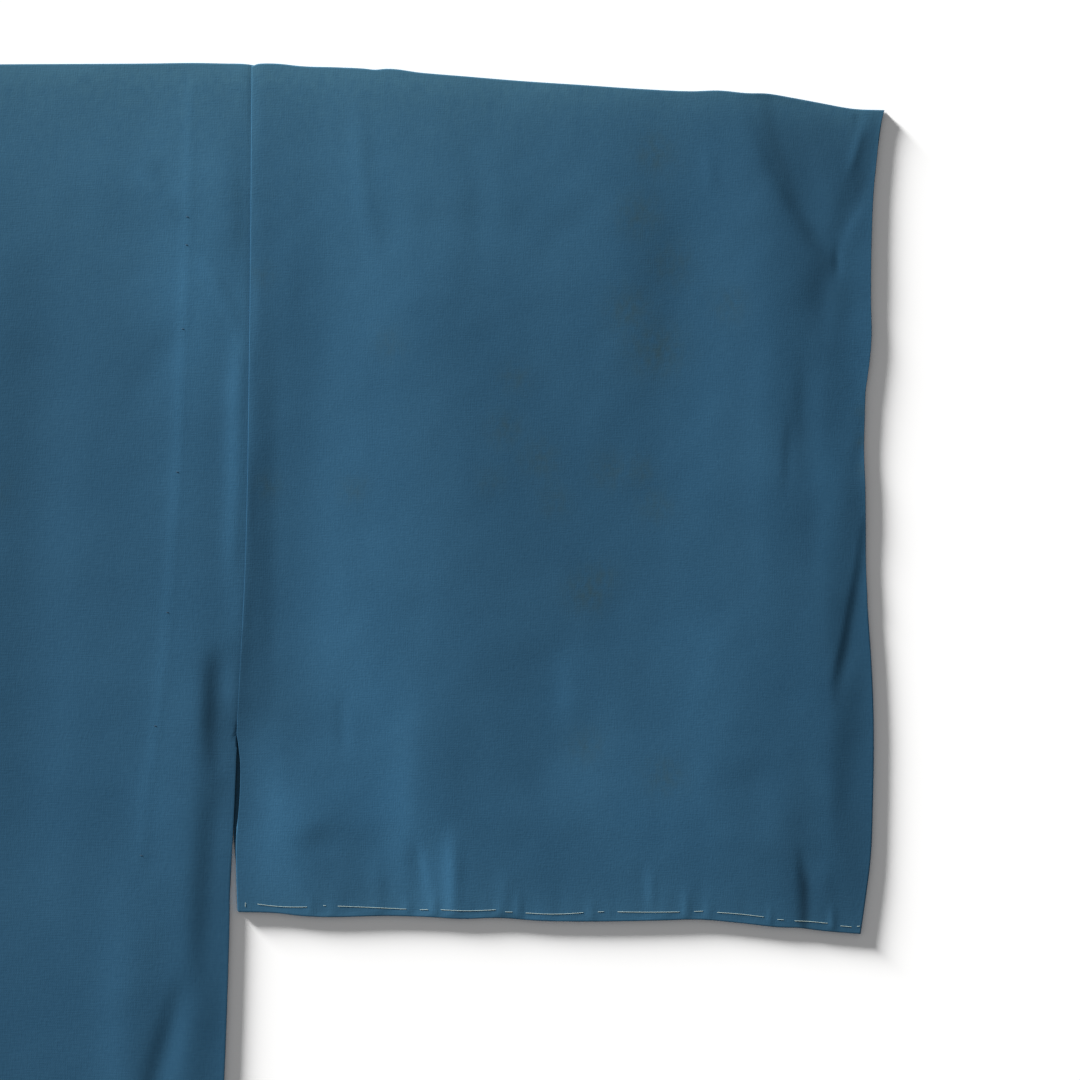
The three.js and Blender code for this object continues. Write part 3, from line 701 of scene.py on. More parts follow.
# %% Marks of the left sleeve
SLEEVE_LEFT_PAINTED_LIGHT_LINES = [  # painted highlight on the armhole seam's folded edge and beside one fold, painted shade in the sharpest folds; rise: tone
    Crease([(0.3302, -0.030), (0.3290, 0.110), (0.3268, 0.230)], 0.004, 0.007, 0.14),
    Crease([(0.3296, -0.030), (0.3284, 0.110), (0.3262, 0.250), (0.3240, 0.320)],
           0.0014, 0.0014, 0.18),
    Crease([(0.6160, -0.004), (0.6207, 0.033), (0.6252, 0.049), (0.6318, 0.066), (0.6368, 0.083),
            (0.6442, 0.098), (0.6530, 0.110), (0.6540, 0.122)], 0.0066, 0.0066, -0.15),
    Crease([(0.676, 0.050), (0.666, 0.084), (0.657, 0.104)], 0.007, 0.007, -0.06),
    Crease([(0.6396, 0.444), (0.6404, 0.464), (0.6400, 0.540)], 0.0032, 0.0052, -0.42),
    Crease([(0.6757, 0.250), (0.6734, 0.280), (0.6655, 0.324), (0.6570, 0.366)],
           0.0026, 0.0026, -0.13),
    Crease([(0.6725, 0.262), (0.6695, 0.282), (0.6665, 0.300)], 0.0024, 0.0024, 0.12),
]
SLEEVE_LEFT_DYE_AND_SHADING = [  # half, depth, reach across and down, change of tone: partly uneven dye, partly painted light and shade, paler near the body and the top, darker in troughs and towards the cuff
    (0.370, 0.050, 0.070, 0.080, 0.16), (0.390, 0.250, 0.045, 0.180, 0.16),
    (0.470, 0.090, 0.070, 0.080, 0.10), (0.337, 0.335, 0.010, 0.045, -0.16),
    (0.346, 0.435, 0.020, 0.040, 0.40), (0.378, 0.330, 0.020, 0.045, 0.12),
    (0.408, 0.405, 0.018, 0.060, 0.16), (0.426, 0.455, 0.024, 0.036, 0.24),
    (0.388, 0.412, 0.018, 0.020, 0.10), (0.486, 0.478, 0.008, 0.010, 0.14),
    (0.648, 0.040, 0.034, 0.026, -0.16), (0.540, 0.080, 0.050, 0.050, 0.05),
    (0.438, 0.440, 0.010, 0.030, 0.10), (0.425, 0.290, 0.026, 0.060, 0.11),
    (0.509, 0.345, 0.012, 0.022, 0.12), (0.396, 0.350, 0.014, 0.040, 0.10),
    (0.441, 0.462, 0.010, 0.026, 0.22), (0.376, 0.400, 0.014, 0.026, 0.08),
    (0.370, 0.450, 0.012, 0.026, -0.10), (0.585, 0.345, 0.026, 0.042, 0.13),
    (0.604, 0.210, 0.012, 0.120, -0.10), (0.574, 0.250, 0.014, 0.120, 0.06),
    (0.555, 0.425, 0.070, 0.045, 0.14), (0.553, 0.080, 0.022, 0.070, -0.06),
    (0.515, 0.300, 0.040, 0.060, -0.04), (0.652, 0.090, 0.024, 0.050, -0.08),
    (0.656, 0.118, 0.008, 0.036, -0.10), (0.656, 0.238, 0.010, 0.048, 0.20),
    (0.671, 0.246, 0.008, 0.020, -0.16), (0.6385, 0.215, 0.010, 0.040, -0.08),
    (0.6475, 0.464, 0.008, 0.020, -0.13), (0.352, 0.440, 0.010, 0.030, 0.08),
    (0.6555, 0.430, 0.006, 0.030, 0.12), (0.651, 0.130, 0.014, 0.040, -0.06),
    (0.678, 0.047, 0.006, 0.018, -0.16), (0.673, 0.067, 0.006, 0.012, -0.20),
    (0.6705, 0.084, 0.004, 0.012, -0.07), (0.6805, 0.034, 0.003, 0.010, -0.10),
    (0.6755, 0.030, 0.003, 0.007, 0.12), (0.607, 0.100, 0.022, 0.060, -0.05),
    (0.670, 0.121, 0.006, 0.020, 0.08), (0.666, 0.352, 0.014, 0.030, -0.08),
    (0.6695, 0.446, 0.008, 0.030, -0.08), (0.354, 0.006, 0.018, 0.012, 0.09),
    (0.672, 0.165, 0.012, 0.040, 0.08), (0.668, 0.300, 0.014, 0.070, -0.14),
    (0.670, 0.440, 0.020, 0.070, -0.20), (0.637, 0.440, 0.009, 0.060, -0.14),
    (0.680, 0.215, 0.007, 0.022, 0.06), (0.638, 0.070, 0.026, 0.055, -0.10),
    (0.324, 0.338, 0.006, 0.056, -0.20), (0.333, 0.262, 0.010, 0.030, -0.07),
    (0.336, 0.312, 0.009, 0.030, 0.09), (0.336, 0.425, 0.010, 0.020, -0.15),
    (0.618, 0.425, 0.026, 0.055, -0.12), (0.486, 0.403, 0.016, 0.020, -0.10),
    (0.396, 0.466, 0.010, 0.012, -0.11), (0.419, 0.436, 0.012, 0.028, 0.08),
    (0.464, 0.436, 0.010, 0.028, 0.06), (0.670, 0.165, 0.012, 0.050, 0.08),
    (0.430, 0.050, 0.085, 0.045, -0.07),
]
SLEEVE_LEFT_SPOTS = [  # half, depth, radius, strength
    (0.557, 0.050, 0.011, 0.55), (0.548, 0.084, 0.012, 0.60), (0.565, 0.112, 0.013, 0.45),
    (0.543, 0.138, 0.013, 0.60), (0.557, 0.160, 0.015, 0.65), (0.599, 0.135, 0.010, 0.40),
    (0.478, 0.176, 0.009, 0.45), (0.472, 0.205, 0.010, 0.50), (0.492, 0.222, 0.011, 0.55),
    (0.464, 0.234, 0.008, 0.40), (0.500, 0.245, 0.009, 0.45), (0.531, 0.228, 0.011, 0.50),
    (0.548, 0.228, 0.009, 0.50), (0.557, 0.248, 0.010, 0.45), (0.519, 0.296, 0.012, 0.68),
    (0.528, 0.288, 0.008, 0.60), (0.517, 0.383, 0.010, 0.45), (0.562, 0.400, 0.011, 0.45),
    (0.3385, 0.237, 0.007, 0.45), (0.3875, 0.239, 0.008, 0.40), (0.407, 0.157, 0.009, 0.35),
    (0.335, 0.118, 0.007, 0.35), (0.6735, 0.196, 0.004, 0.40), (0.6728, 0.212, 0.004, 0.45),
    (0.6738, 0.228, 0.004, 0.35),
]
print("patches:", len(SLEEVE_LEFT_DYE_AND_SHADING), "stains:", len(SLEEVE_LEFT_SPOTS))

# %% The left sleeve
sleeve_left = lay_sleeve("sleeve_left_cloth", side=1, step=0.0022, seed=3.1,
                         creases=SLEEVE_LEFT_CREASES, dye_and_shading=SLEEVE_LEFT_DYE_AND_SHADING,
                         spots=SLEEVE_LEFT_SPOTS, painted_light_lines=SLEEVE_LEFT_PAINTED_LIGHT_LINES)

# %% [markdown]
# ### The other sleeve
#
# The right sleeve could be a mirrored copy, but two sleeves never crease alike. It is laid by the
# same function, on a coarser grid, with creases and marks of its own.

# %% Creases and marks of the right sleeve
SLEEVE_RIGHT_CREASES = [
    Crease([(0.345, 0.110), (0.341, 0.340)], 0.012, 0.016, -0.0009),
    Crease([(0.420, 0.020), (0.426, 0.250), (0.434, 0.470)], 0.034, 0.042, 0.0011),
    Crease([(0.498, 0.008), (0.512, 0.160), (0.520, 0.310)], 0.026, 0.030, -0.0011),
    Crease([(0.590, 0.050), (0.600, 0.260), (0.600, 0.450)], 0.024, 0.024, 0.0011),
    Crease([(0.566, 0.012), (0.600, 0.060), (0.642, 0.155)], 0.010, 0.013, -0.0011),
    Crease([(0.676, 0.060), (0.655, 0.110), (0.644, 0.158)], 0.007, 0.008, -0.0008),
    Crease([(0.670, 0.205), (0.662, 0.280), (0.648, 0.355)], 0.006, 0.007, -0.0010),
    Crease([(0.372, 0.440), (0.374, 0.480)], 0.006, 0.006, -0.0005),
    Crease([(0.402, 0.446), (0.401, 0.481)], 0.005, 0.007, -0.0006),
    Crease([(0.447, 0.436), (0.446, 0.481)], 0.008, 0.006, 0.0007),
    Crease([(0.489, 0.450), (0.490, 0.482)], 0.005, 0.006, -0.0006),
    Crease([(0.536, 0.447), (0.535, 0.482)], 0.006, 0.006, -0.0005),
    Crease([(0.588, 0.440), (0.589, 0.484)], 0.006, 0.008, 0.0006),
    Crease([(0.628, 0.430), (0.629, 0.487)], 0.005, 0.007, -0.0009),
]
SLEEVE_RIGHT_TONE = [  # half, depth, reach across and down, change of tone
    (0.390, 0.080, 0.060, 0.090, 0.14), (0.430, 0.390, 0.040, 0.070, 0.10),
    (0.530, 0.190, 0.050, 0.080, -0.08), (0.655, 0.110, 0.030, 0.080, -0.14),
    (0.660, 0.400, 0.026, 0.080, -0.16),
]
SLEEVE_RIGHT_SPOTS = [  # half, depth, radius, strength
    (0.520, 0.095, 0.013, 0.50), (0.505, 0.140, 0.010, 0.45), (0.462, 0.260, 0.012, 0.55),
    (0.590, 0.310, 0.011, 0.40),
]

sleeve_right = lay_sleeve("sleeve_right_cloth", side=-1, step=0.0032, seed=11.7,
                          creases=SLEEVE_RIGHT_CREASES, dye_and_shading=SLEEVE_RIGHT_TONE,
                          spots=SLEEVE_RIGHT_SPOTS)

# %% [markdown]
# ## The body
#
# Each half of the body is cut as a straight width, and the neck and the slope of the front are cut
# away from its inner side. Back and front could be two pieces joined at the shoulder, but the real
# one has no seam there. So the grid is made whole too, moved into place, and the faces inside the
# neck are deleted. Where the two fronts cross, the left one is lifted over the right collar.

# %% Neckline and overlap
NECK_HALF = 0.090
FRONT_EDGE = 0.005  # half at which a front panel ends below the chest
SLANT_DEPTH = 0.360
SLANT_BEND = 0.080
COLLAR_WIDTH = 0.057
COLLAR_THICK = 2 * LAYER
OVER_LEVEL = LAYER + GAP + COLLAR_THICK + 0.0004  # underside of what lies over the right collar
LIFT_HOLD = 0.006
LIFT_FALL = 0.036


def neckline_half(depth):
    """The seam of collar and front panel: slanted over the chest, then straight down."""
    slope = (NECK_HALF - FRONT_EDGE) / SLANT_DEPTH
    bent = np.clip(depth - SLANT_DEPTH + SLANT_BEND, 0, 2 * SLANT_BEND)
    reached = np.minimum(depth, SLANT_DEPTH + SLANT_BEND)
    return NECK_HALF - slope * (reached - bent**2 / (4 * SLANT_BEND))


def overlap_share(depth):
    """0 at the neck and 1 where the left front lies over the right one."""
    return ease((depth - 0.020) / 0.105)


def lift_over_collar(half, depth):
    line = neckline_half(depth)
    held = np.maximum(line, COLLAR_WIDTH - line) + LIFT_HOLD
    share = 1 - ease((half - held) / LIFT_FALL)
    return (OVER_LEVEL - LAYER - GAP) * overlap_share(depth) * share


print("the left front is lifted by up to", round(OVER_LEVEL - LAYER - GAP, 4))

# %% Rows and columns of the body
NECK_STEP = 0.006
BODY_WIDTH = SLEEVE_ROOT
PANEL_WIDTH = BODY_WIDTH - NECK_HALF  # of the front, which ends at the neckline


def body_grid(step):
    """The grid, and the last column that the front has too."""
    panel = edge_to_edge(PANEL_WIDTH, (0.080, step), (PANEL_WIDTH, 2.4 * step))
    panel = panel[panel <= PANEL_WIDTH - EDGE_PLACES[2]]
    panel[-1] = PANEL_WIDTH
    tuck = np.array(TUCK_PLACES)
    neck = np.append(np.linspace(0, NECK_HALF - 0.004, round(NECK_HALF / NECK_STEP))[1:], NECK_HALF)
    columns = np.concatenate([tuck, panel, PANEL_WIDTH + neck])
    turned_column = np.arange(len(columns)) < len(tuck)
    rows, layer, turned_row = two_layers(
        BODY_LENGTH, [(0.560, 1.4 * step), (BODY_LENGTH, 3 * step)], [(BODY_LENGTH, 10 * step)])
    return Grid(columns, turned_column, rows, layer, turned_row), len(tuck) + len(panel) - 1


left_grid, _ = body_grid(0.0022)
print("columns and rows:", len(left_grid.columns), len(left_grid.rows))

# %% Plan of the body
UNDER_SLEEVE = 0.0016  # the body reaches this far under the sleeve's folded edge
UNDER_COLLAR = 0.0018
CENTRE_OVER = 0.0008  # at the centre back seam the left half lies this far over the right one
CENTRE_GAP = 0.0001


def front_half(distance, depth):
    """The front panel reaches from under the sleeve's edge to under the collar."""
    outer = side_half(depth) + UNDER_SLEEVE * above(ARMHOLE, depth, 0.004)
    return mix(outer, neckline_half(depth) - UNDER_COLLAR, distance / PANEL_WIDTH)


def back_half(distance, depth, centre):
    """The back reaches to the middle. Near the fold its columns meet those of the front."""
    edge = side_half(depth)
    below_fold = ease(depth / 0.050)
    spread = edge * (1 - distance / BODY_WIDTH)
    beside_neck = mix(edge, NECK_HALF - UNDER_COLLAR, distance / PANEL_WIDTH)
    centre_share = (distance - PANEL_WIDTH) / (BODY_WIDTH - PANEL_WIDTH)
    behind_neck = mix(NECK_HALF - UNDER_COLLAR, centre, centre_share)
    return np.where(distance > PANEL_WIDTH,
                    mix(behind_neck, spread + centre * centre_share, below_fold),
                    mix(beside_neck, spread, below_fold))


# %% Heights of the body
CALM_FROM, CALM_TO = 0.050, 0.150  # the crossed fronts press each other flat up to here
CALM_SHARE, CALM_LIMIT, FREE_LIMIT = 0.4, 0.0006, 0.0031  # what is left there, highest rises
HELD_SIDE = 0.009  # creases reach their full height this far from the body's side
SEAM_DIP = 0.00008  # the body dips by this much to pass under the sleeve's folded edge
DIP_WIDTH = 0.0009
COLLAR_DIP, COLLAR_DIP_WIDTH = 0.00135, 0.0012  # and by this much to pass under the collar
HEM_WIDTH = 0.012
HEM_RIDGE = 0.00025  # the turned-up hem's stitched line stands out by this much
HEM_RIDGE_WIDTH = 0.0025
BACK_OVER = 1.2 * SILK  # the left back lies this much higher where it covers the right one


def body_rise(half, depth, creases, seed):
    from_side = side_half(depth) - half
    beside = ease(from_side / SLACK_MARGIN)
    slack = mix(mix(0, seam_level(depth), above(ARMHOLE, depth, OPENING_FADE)), SLACK, beside)
    slack = slack * ease(depth / END_MARGIN)
    held = ease(depth / HELD_TOP) * ease(from_side / HELD_SIDE)
    free = ease((half - CALM_FROM) / (CALM_TO - CALM_FROM))
    lively = unevenness(half, depth, broad=0.050, small=0.018, seed=seed)
    rise = slack + FLATTEN * (crease_height(creases, half, depth) + lively) * held
    return np.minimum(soft_floor(rise * mix(CALM_SHARE, 1, free)), mix(CALM_LIMIT, FREE_LIMIT, free))


def body_front(half, depth, open_side, creases, seed, lies_over):
    """Height of a front panel, from the dip under the sleeve to the dip under the collar."""
    front = FRONT_MID + body_rise(half, depth, creases, seed)
    if lies_over:
        front += lift_over_collar(half, depth)
    from_sleeve = side_half(depth) - half - SEAM_OVERLAP
    front -= SEAM_DIP * open_side * (1 - ease(from_sleeve / DIP_WIDTH))
    from_band = half - neckline_half(depth) - 0.0001
    front -= COLLAR_DIP * (1 - ease(from_band / COLLAR_DIP_WIDTH))
    from_hem_line = np.abs(BODY_LENGTH - depth - HEM_WIDTH)
    return front + HEM_RIDGE * np.exp(-((from_hem_line / HEM_RIDGE_WIDTH) ** 2))


def body_heights(grid, half, depth, creases, seed, lies_over):
    """Height of each point. The layers meet at the side below the armhole and at the fold."""
    layer = grid.layer[:, None]
    from_side = side_half(depth) - half
    open_side = above(ARMHOLE, depth, 0.010)
    front = body_front(half, depth, open_side, creases, seed, lies_over)
    back = BACK_MID
    if lies_over:
        back = back + BACK_OVER * (1 - ease((half - 0.0005) / 0.003))
    open_neck = (grid.columns[None, :] > PANEL_WIDTH).astype(float)
    full = either(rounded(np.maximum(from_side, 0)), open_side) * either(rounded(depth), open_neck)
    seam = MIDDLE + layer * SEAM_HALF * ease(depth / SEAM_SPREAD)
    surface = seam + (np.where(layer > 0, front, back) - seam) * full
    surface = np.where((depth == 0) & (open_neck > 0), back, surface)
    turned = mix(seam, surface - layer * TUCK_DROP, open_side)
    z = np.where(grid.turned_column[None, :], turned, surface)
    return np.where(grid.turned_row[:, None], z - layer * TUCK_DROP, z)


# %% Laying half of the body
BODY_TOP = [  # distance from the body's side, depth of the top fold there
    (0, -0.0002), (0.0050, -0.0009), (0.0180, -0.0013), (0.0320, -0.0016), (0.0600, -0.0013),
    (0.1500, -0.0008), (0.2380, 0), (0.2400, 0),
]


def lay_body(name, side, step, seed, creases, dye_and_shading, spots, lies_over):
    grid, last_front = body_grid(step)
    depth = np.broadcast_to(grid.rows[:, None], (len(grid.rows), len(grid.columns)))
    distance = grid.columns[None, :]
    in_front = grid.layer[:, None] > 0
    centre = -CENTRE_OVER if lies_over else CENTRE_GAP
    half = np.where(in_front, front_half(distance, depth), back_half(distance, depth, centre))
    z = body_heights(grid, half, depth, creases, seed, lies_over)
    from_side = side_half(depth) - half
    closed = (1 - above(ARMHOLE, depth, 0.010)) * (from_side > -0.00001)
    half = half - dent(np.maximum(from_side, 0)) * closed
    top_shift = follow(BODY_TOP, np.minimum(distance, PANEL_WIDTH)) * (1 - ease(depth / 0.030))
    cloth = cloth_grid(name, len(grid.columns), len(grid.rows))
    move_points(cloth, side * half, SHOULDER_Y - depth - (top_shift + dent(depth)), z)
    set_cut_uv(cloth, *np.broadcast_arrays(distance, (grid.layer * grid.rows)[:, None]))
    # paler towards the shoulder fold: partly faded dye, partly painted light
    fading_and_light = dies_away(0.6, 0.110, depth) + dies_away(*FOLD_FADE_AND_LIGHT, depth)
    # pale lines, worn along the seam allowance and painted light beside the armhole seam, and the top
    # fold's partly painted light
    worn_and_lit = crease_height(BODY_WEAR_AND_LIGHT_LINES, half, depth) + faded_and_lit_top(depth)
    marks = (fading_and_light, dye_and_shading_mask(dye_and_shading, half, depth) + worn_and_lit, spot_mask(spots, half, depth))
    store_marks(cloth, in_front, marks, (0.4, 0, 0))
    cut_neck(cloth, len(grid.columns), int(np.argmax(grid.layer > 0)), last_front)
    thicken(cloth)
    return cloth


def cut_neck(cloth, columns, fold_row, last_front):
    """Deletes what the cutter takes away in front: all that lies inside the front panel's edge."""
    make_active(cloth)
    bpy.ops.object.mode_set(mode="EDIT")
    bpy.ops.mesh.select_mode(type="FACE")
    bpy.ops.mesh.select_all(action="DESELECT")
    bpy.ops.object.mode_set(mode="OBJECT")
    for face in cloth.data.polygons:
        row = min(face.vertices) // columns
        column = min(v % columns for v in face.vertices)
        face.select = row >= fold_row and column >= last_front
    bpy.ops.object.mode_set(mode="EDIT")
    bpy.ops.mesh.delete(type="FACE")
    bpy.ops.object.mode_set(mode="OBJECT")
    print(f"{cloth.name}: {len(cloth.data.polygons)} faces left beside the neck")


# %% Creases and marks of the left half
ALLOWANCE = [  # half and depth of the edge of the wide seam allowance, which shows through
    (0.2945, 0.002), (0.2933, 0.085), (0.2916, 0.132), (0.2897, 0.166), (0.2880, 0.223),
    (0.2838, 0.281), (0.2797, 0.338), (0.2747, 0.376), (0.2713, 0.404), (0.2660, 0.460),
]
BODY_WEAR_AND_LIGHT_LINES = [  # pale lines of both halves, creases whose rise is a change of tone: worn along the seam allowance's edge, painted light beside the armhole seam
    Crease(ALLOWANCE[:-1], 0.0034, 0.0034, 0.10),
    Crease([(0.2900, 0.120), (0.2870, 0.200), (0.2840, 0.280)], 0.010, 0.010, 0.06),
    Crease([(0.3235, -0.060), (0.3228, 0.120), (0.3215, 0.240), (0.3180, 0.350)],
           0.009, 0.006, 0.10),
]
BODY_LEFT_CREASES = [
    Crease(ALLOWANCE, 0.004, 0.004, 0.0001),
    # pulls beside the seam
    Crease([(0.3165, 0.010), (0.3175, 0.080), (0.3190, 0.138)], 0.014, 0.0085, 0.0003),
    Crease([(0.296, 0.107), (0.309, 0.121), (0.3195, 0.140), (0.3255, 0.156)],
           0.006, 0.004, 0.0003),
    Crease([(0.3245, 0.145), (0.3225, 0.240), (0.3185, 0.305)], 0.009, 0.0045, 0.0003),
    Crease([(0.3100, 0.322), (0.3108, 0.355), (0.3120, 0.405)], 0.0080, 0.010, -0.0014),
    Crease([(0.3120, 0.395), (0.3060, 0.460), (0.3020, 0.530)], 0.010, 0.008, -0.0005),
    Crease([(0.3205, 0.345), (0.3190, 0.372)], 0.003, 0.003, -0.0002),
    # crossed pulls near the shoulder
    Crease([(0.262, 0.058), (0.276, 0.072), (0.294, 0.090)], 0.007, 0.005, 0.0003),
    Crease([(0.272, 0.052), (0.290, 0.074)], 0.005, 0.005, -0.0002),
    Crease([(0.290, 0.150), (0.262, 0.190)], 0.014, 0.014, -0.0002),
    # further in and further down
    Crease([(0.215, 0.050), (0.208, 0.280), (0.200, 0.530)], 0.026, 0.030, -0.0009),
    Crease([(0.262, 0.430), (0.256, 0.760), (0.250, 1.090)], 0.020, 0.024, 0.0009),
    Crease([(0.170, 0.490), (0.174, 0.860), (0.182, 1.275)], 0.024, 0.028, 0.0010),
    Crease([(0.285, 0.770), (0.292, 1.282)], 0.018, 0.016, -0.0008),
    Crease([(0.110, 0.610), (0.118, 1.255)], 0.020, 0.022, -0.0008),
    Crease([(0.296, 0.500), (0.270, 0.590), (0.235, 0.650)], 0.008, 0.012, -0.0007),
    Crease([(0.225, 0.870), (0.150, 0.905), (0.090, 0.912)], 0.007, 0.009, 0.0005),
    Crease([(0.060, 0.705), (0.150, 0.700), (0.296, 0.706)], 0.006, 0.007, -0.0005),
    Crease([(0.240, 1.200), (0.243, 1.288)], 0.008, 0.010, -0.0006),
    Crease([(0.140, 1.180), (0.137, 1.288)], 0.010, 0.008, 0.0006),
]
BODY_LEFT_DYE_AND_SHADING = [  # half, depth, reach across and down, change of tone: partly uneven dye, partly painted light and shade, with painted shade in the trough below the armhole and painted light beside the seam
    (0.300, 0.080, 0.030, 0.110, 0.12), (0.240, 0.060, 0.090, 0.080, 0.10),
    (0.282, 0.330, 0.024, 0.160, 0.13), (0.285, 0.090, 0.050, 0.060, 0.06),
    (0.306, 0.140, 0.010, 0.040, 0.10), (0.289, 0.150, 0.014, 0.080, 0.07),
    (0.3205, 0.215, 0.008, 0.070, 0.32), (0.3065, 0.368, 0.006, 0.030, -0.26),
    (0.318, 0.368, 0.007, 0.036, -0.24), (0.296, 0.135, 0.024, 0.050, 0.07),
    (0.3055, 0.470, 0.010, 0.050, -0.08), (0.272, 0.414, 0.012, 0.016, 0.12),
    (0.289, 0.120, 0.016, 0.030, 0.09), (0.308, 0.500, 0.012, 0.080, -0.08),
    (0.200, 0.700, 0.090, 0.160, -0.06), (0.180, 1.150, 0.090, 0.120, 0.08),
]
BODY_LEFT_SPOTS = [  # half, depth, radius, strength
    (0.180, 0.240, 0.012, 0.35), (0.215, 0.620, 0.014, 0.45), (0.140, 1.020, 0.012, 0.40),
]
print("creases:", len(BODY_LEFT_CREASES), "patches:", len(BODY_LEFT_DYE_AND_SHADING))

# %% Creases and marks of the right half
BODY_RIGHT_CREASES = [
    Crease([(0.2945, 0.002), (0.2940, 0.160), (0.2925, 0.300), (0.2860, 0.420)],
           0.008, 0.008, 0.0007),
    Crease([(0.240, 0.080), (0.232, 0.280), (0.225, 0.490)], 0.024, 0.028, -0.0009),
    Crease([(0.180, 0.020), (0.168, 0.200), (0.160, 0.410)], 0.022, 0.024, 0.0008),
    Crease([(0.278, 0.410), (0.270, 0.700), (0.270, 1.010)], 0.018, 0.022, 0.0009),
    Crease([(0.205, 0.550), (0.196, 0.900), (0.190, 1.280)], 0.024, 0.022, -0.0009),
    Crease([(0.130, 0.470), (0.136, 0.800), (0.142, 1.210)], 0.022, 0.026, 0.0008),
    Crease([(0.318, 0.250), (0.290, 0.330), (0.300, 0.430)], 0.006, 0.010, -0.0008),
    Crease([(0.060, 0.702), (0.160, 0.708), (0.296, 0.704)], 0.006, 0.007, -0.0005),
    Crease([(0.300, 0.930), (0.240, 0.965), (0.170, 0.970)], 0.008, 0.009, -0.0005),
    Crease([(0.230, 1.190), (0.233, 1.288)], 0.009, 0.008, 0.0006),
]
BODY_RIGHT_TONE = [  # half, depth, reach across and down, change of tone
    (0.270, 0.090, 0.060, 0.110, 0.14), (0.180, 0.560, 0.080, 0.160, -0.06),
    (0.240, 1.050, 0.080, 0.140, 0.07),
]
BODY_RIGHT_SPOTS = [  # half, depth, radius, strength
    (0.230, 0.330, 0.012, 0.40), (0.160, 0.880, 0.015, 0.45),
]
print("creases:", len(BODY_RIGHT_CREASES), "patches:", len(BODY_RIGHT_TONE))

# %% Both halves of the body
body_left = lay_body("body_left_cloth", side=1, step=0.0022, seed=5.3, lies_over=True,
                     creases=BODY_LEFT_CREASES, dye_and_shading=BODY_LEFT_DYE_AND_SHADING, spots=BODY_LEFT_SPOTS)
body_right = lay_body("body_right_cloth", side=-1, step=0.0034, seed=8.9, lies_over=False,
                      creases=BODY_RIGHT_CREASES, dye_and_shading=BODY_RIGHT_TONE, spots=BODY_RIGHT_SPOTS)

# %% [markdown]
# ## The collar
#
# The collar is one strip, folded double along its length. It runs behind the neck, turns over at
# each corner of the neck on a slanted fold, as a ribbon does, and runs down both fronts. It could
# be a section swept along a curve, but a sweep twists where a ribbon folds. So its grid has one
# row for each station along the band, and its columns go round the doubled strip: along the side
# that is hidden on the fronts, round the free edge, and back along the side that shows.

# %% Stations along the collar
SLANT = math.atan((NECK_HALF - FRONT_EDGE) / SLANT_DEPTH)
MITRE = (math.pi / 2 + SLANT) / 2
MITRE_LAG = COLLAR_WIDTH / math.tan(MITRE)
TURN_RADIUS = COLLAR_THICK + GAP / 2  # outer radius of the slanted fold
Station = namedtuple("Station", "seam free normal")


def behind_neck():
    """From the centre back to the corner: seam and free edge, height, way the shown side looks."""
    for share in np.linspace(0, 1, 24, endpoint=False):
        seam = (NECK_HALF * share, 0)
        free = ((NECK_HALF - MITRE_LAG) * share, -COLLAR_WIDTH)
        yield seam, free, COLLAR_THICK / 2, (0, 0, -1)


def slanted_fold():
    fold_radius = TURN_RADIUS - COLLAR_THICK / 2
    outward = (math.sin(MITRE), math.cos(MITRE))
    for turn in np.linspace(0, math.pi, 13):
        out = fold_radius * math.sin(turn)
        seam = (NECK_HALF + outward[0] * out, -outward[1] * out)
        free = (NECK_HALF - MITRE_LAG + outward[0] * out, -COLLAR_WIDTH - outward[1] * out)
        shown = (outward[0] * math.sin(turn), outward[1] * math.sin(turn), -math.cos(turn))
        yield seam, free, TURN_RADIUS - fold_radius * math.cos(turn), shown


def down_front(level):
    """Down one front, at a height that a function of the depth gives."""
    for depth in np.concatenate([np.linspace(0.006, 0.5, 84), np.linspace(0.508, BODY_LENGTH, 98)]):
        lean = (neckline_half(depth + 0.001) - neckline_half(depth - 0.001)) / 0.002
        down = np.array([lean, 1]) / math.hypot(lean, 1)
        inward = np.array([-down[1], down[0]])
        lag = MITRE_LAG * (1 - ease(depth / 0.075))
        seam = np.array([neckline_half(depth), depth])
        free = seam + inward * COLLAR_WIDTH - down * lag
        free[1] = min(free[1], BODY_LENGTH + GAP)
        yield seam, free, level(depth) + COLLAR_THICK / 2, (0, 0, 1)


def collar_stations(side, level):
    """Middle surface of the band from the centre back to the hem on one side."""
    stations = []
    for seam, free, z, normal in (*behind_neck(), *slanted_fold(), *down_front(level)):
        at = [Vector((side * x, SHOULDER_Y + GAP - d, z)) for x, d in (seam, free)]
        stations.append(Station(*at, Vector((side * normal[0], normal[1], normal[2]))))
    return stations


def left_level(depth):
    return mix(COLLAR_THICK + GAP, OVER_LEVEL, overlap_share(depth))


def right_level(depth):
    return mix(COLLAR_THICK + GAP, LAYER + GAP, overlap_share(depth))


print("stations on one side:", len(collar_stations(1, left_level)))

# %% Section of the collar
BAND_COLUMNS = 15  # points across one side of the band
EDGE_TURN = 5  # points round its free edge
SEAM_PINCH = 0.00015  # half height of the band at its seam, where its edges are sewn together
BAND_ROUND = 0.0016
BAND_HALF = COLLAR_THICK / 2 - SILK / 2


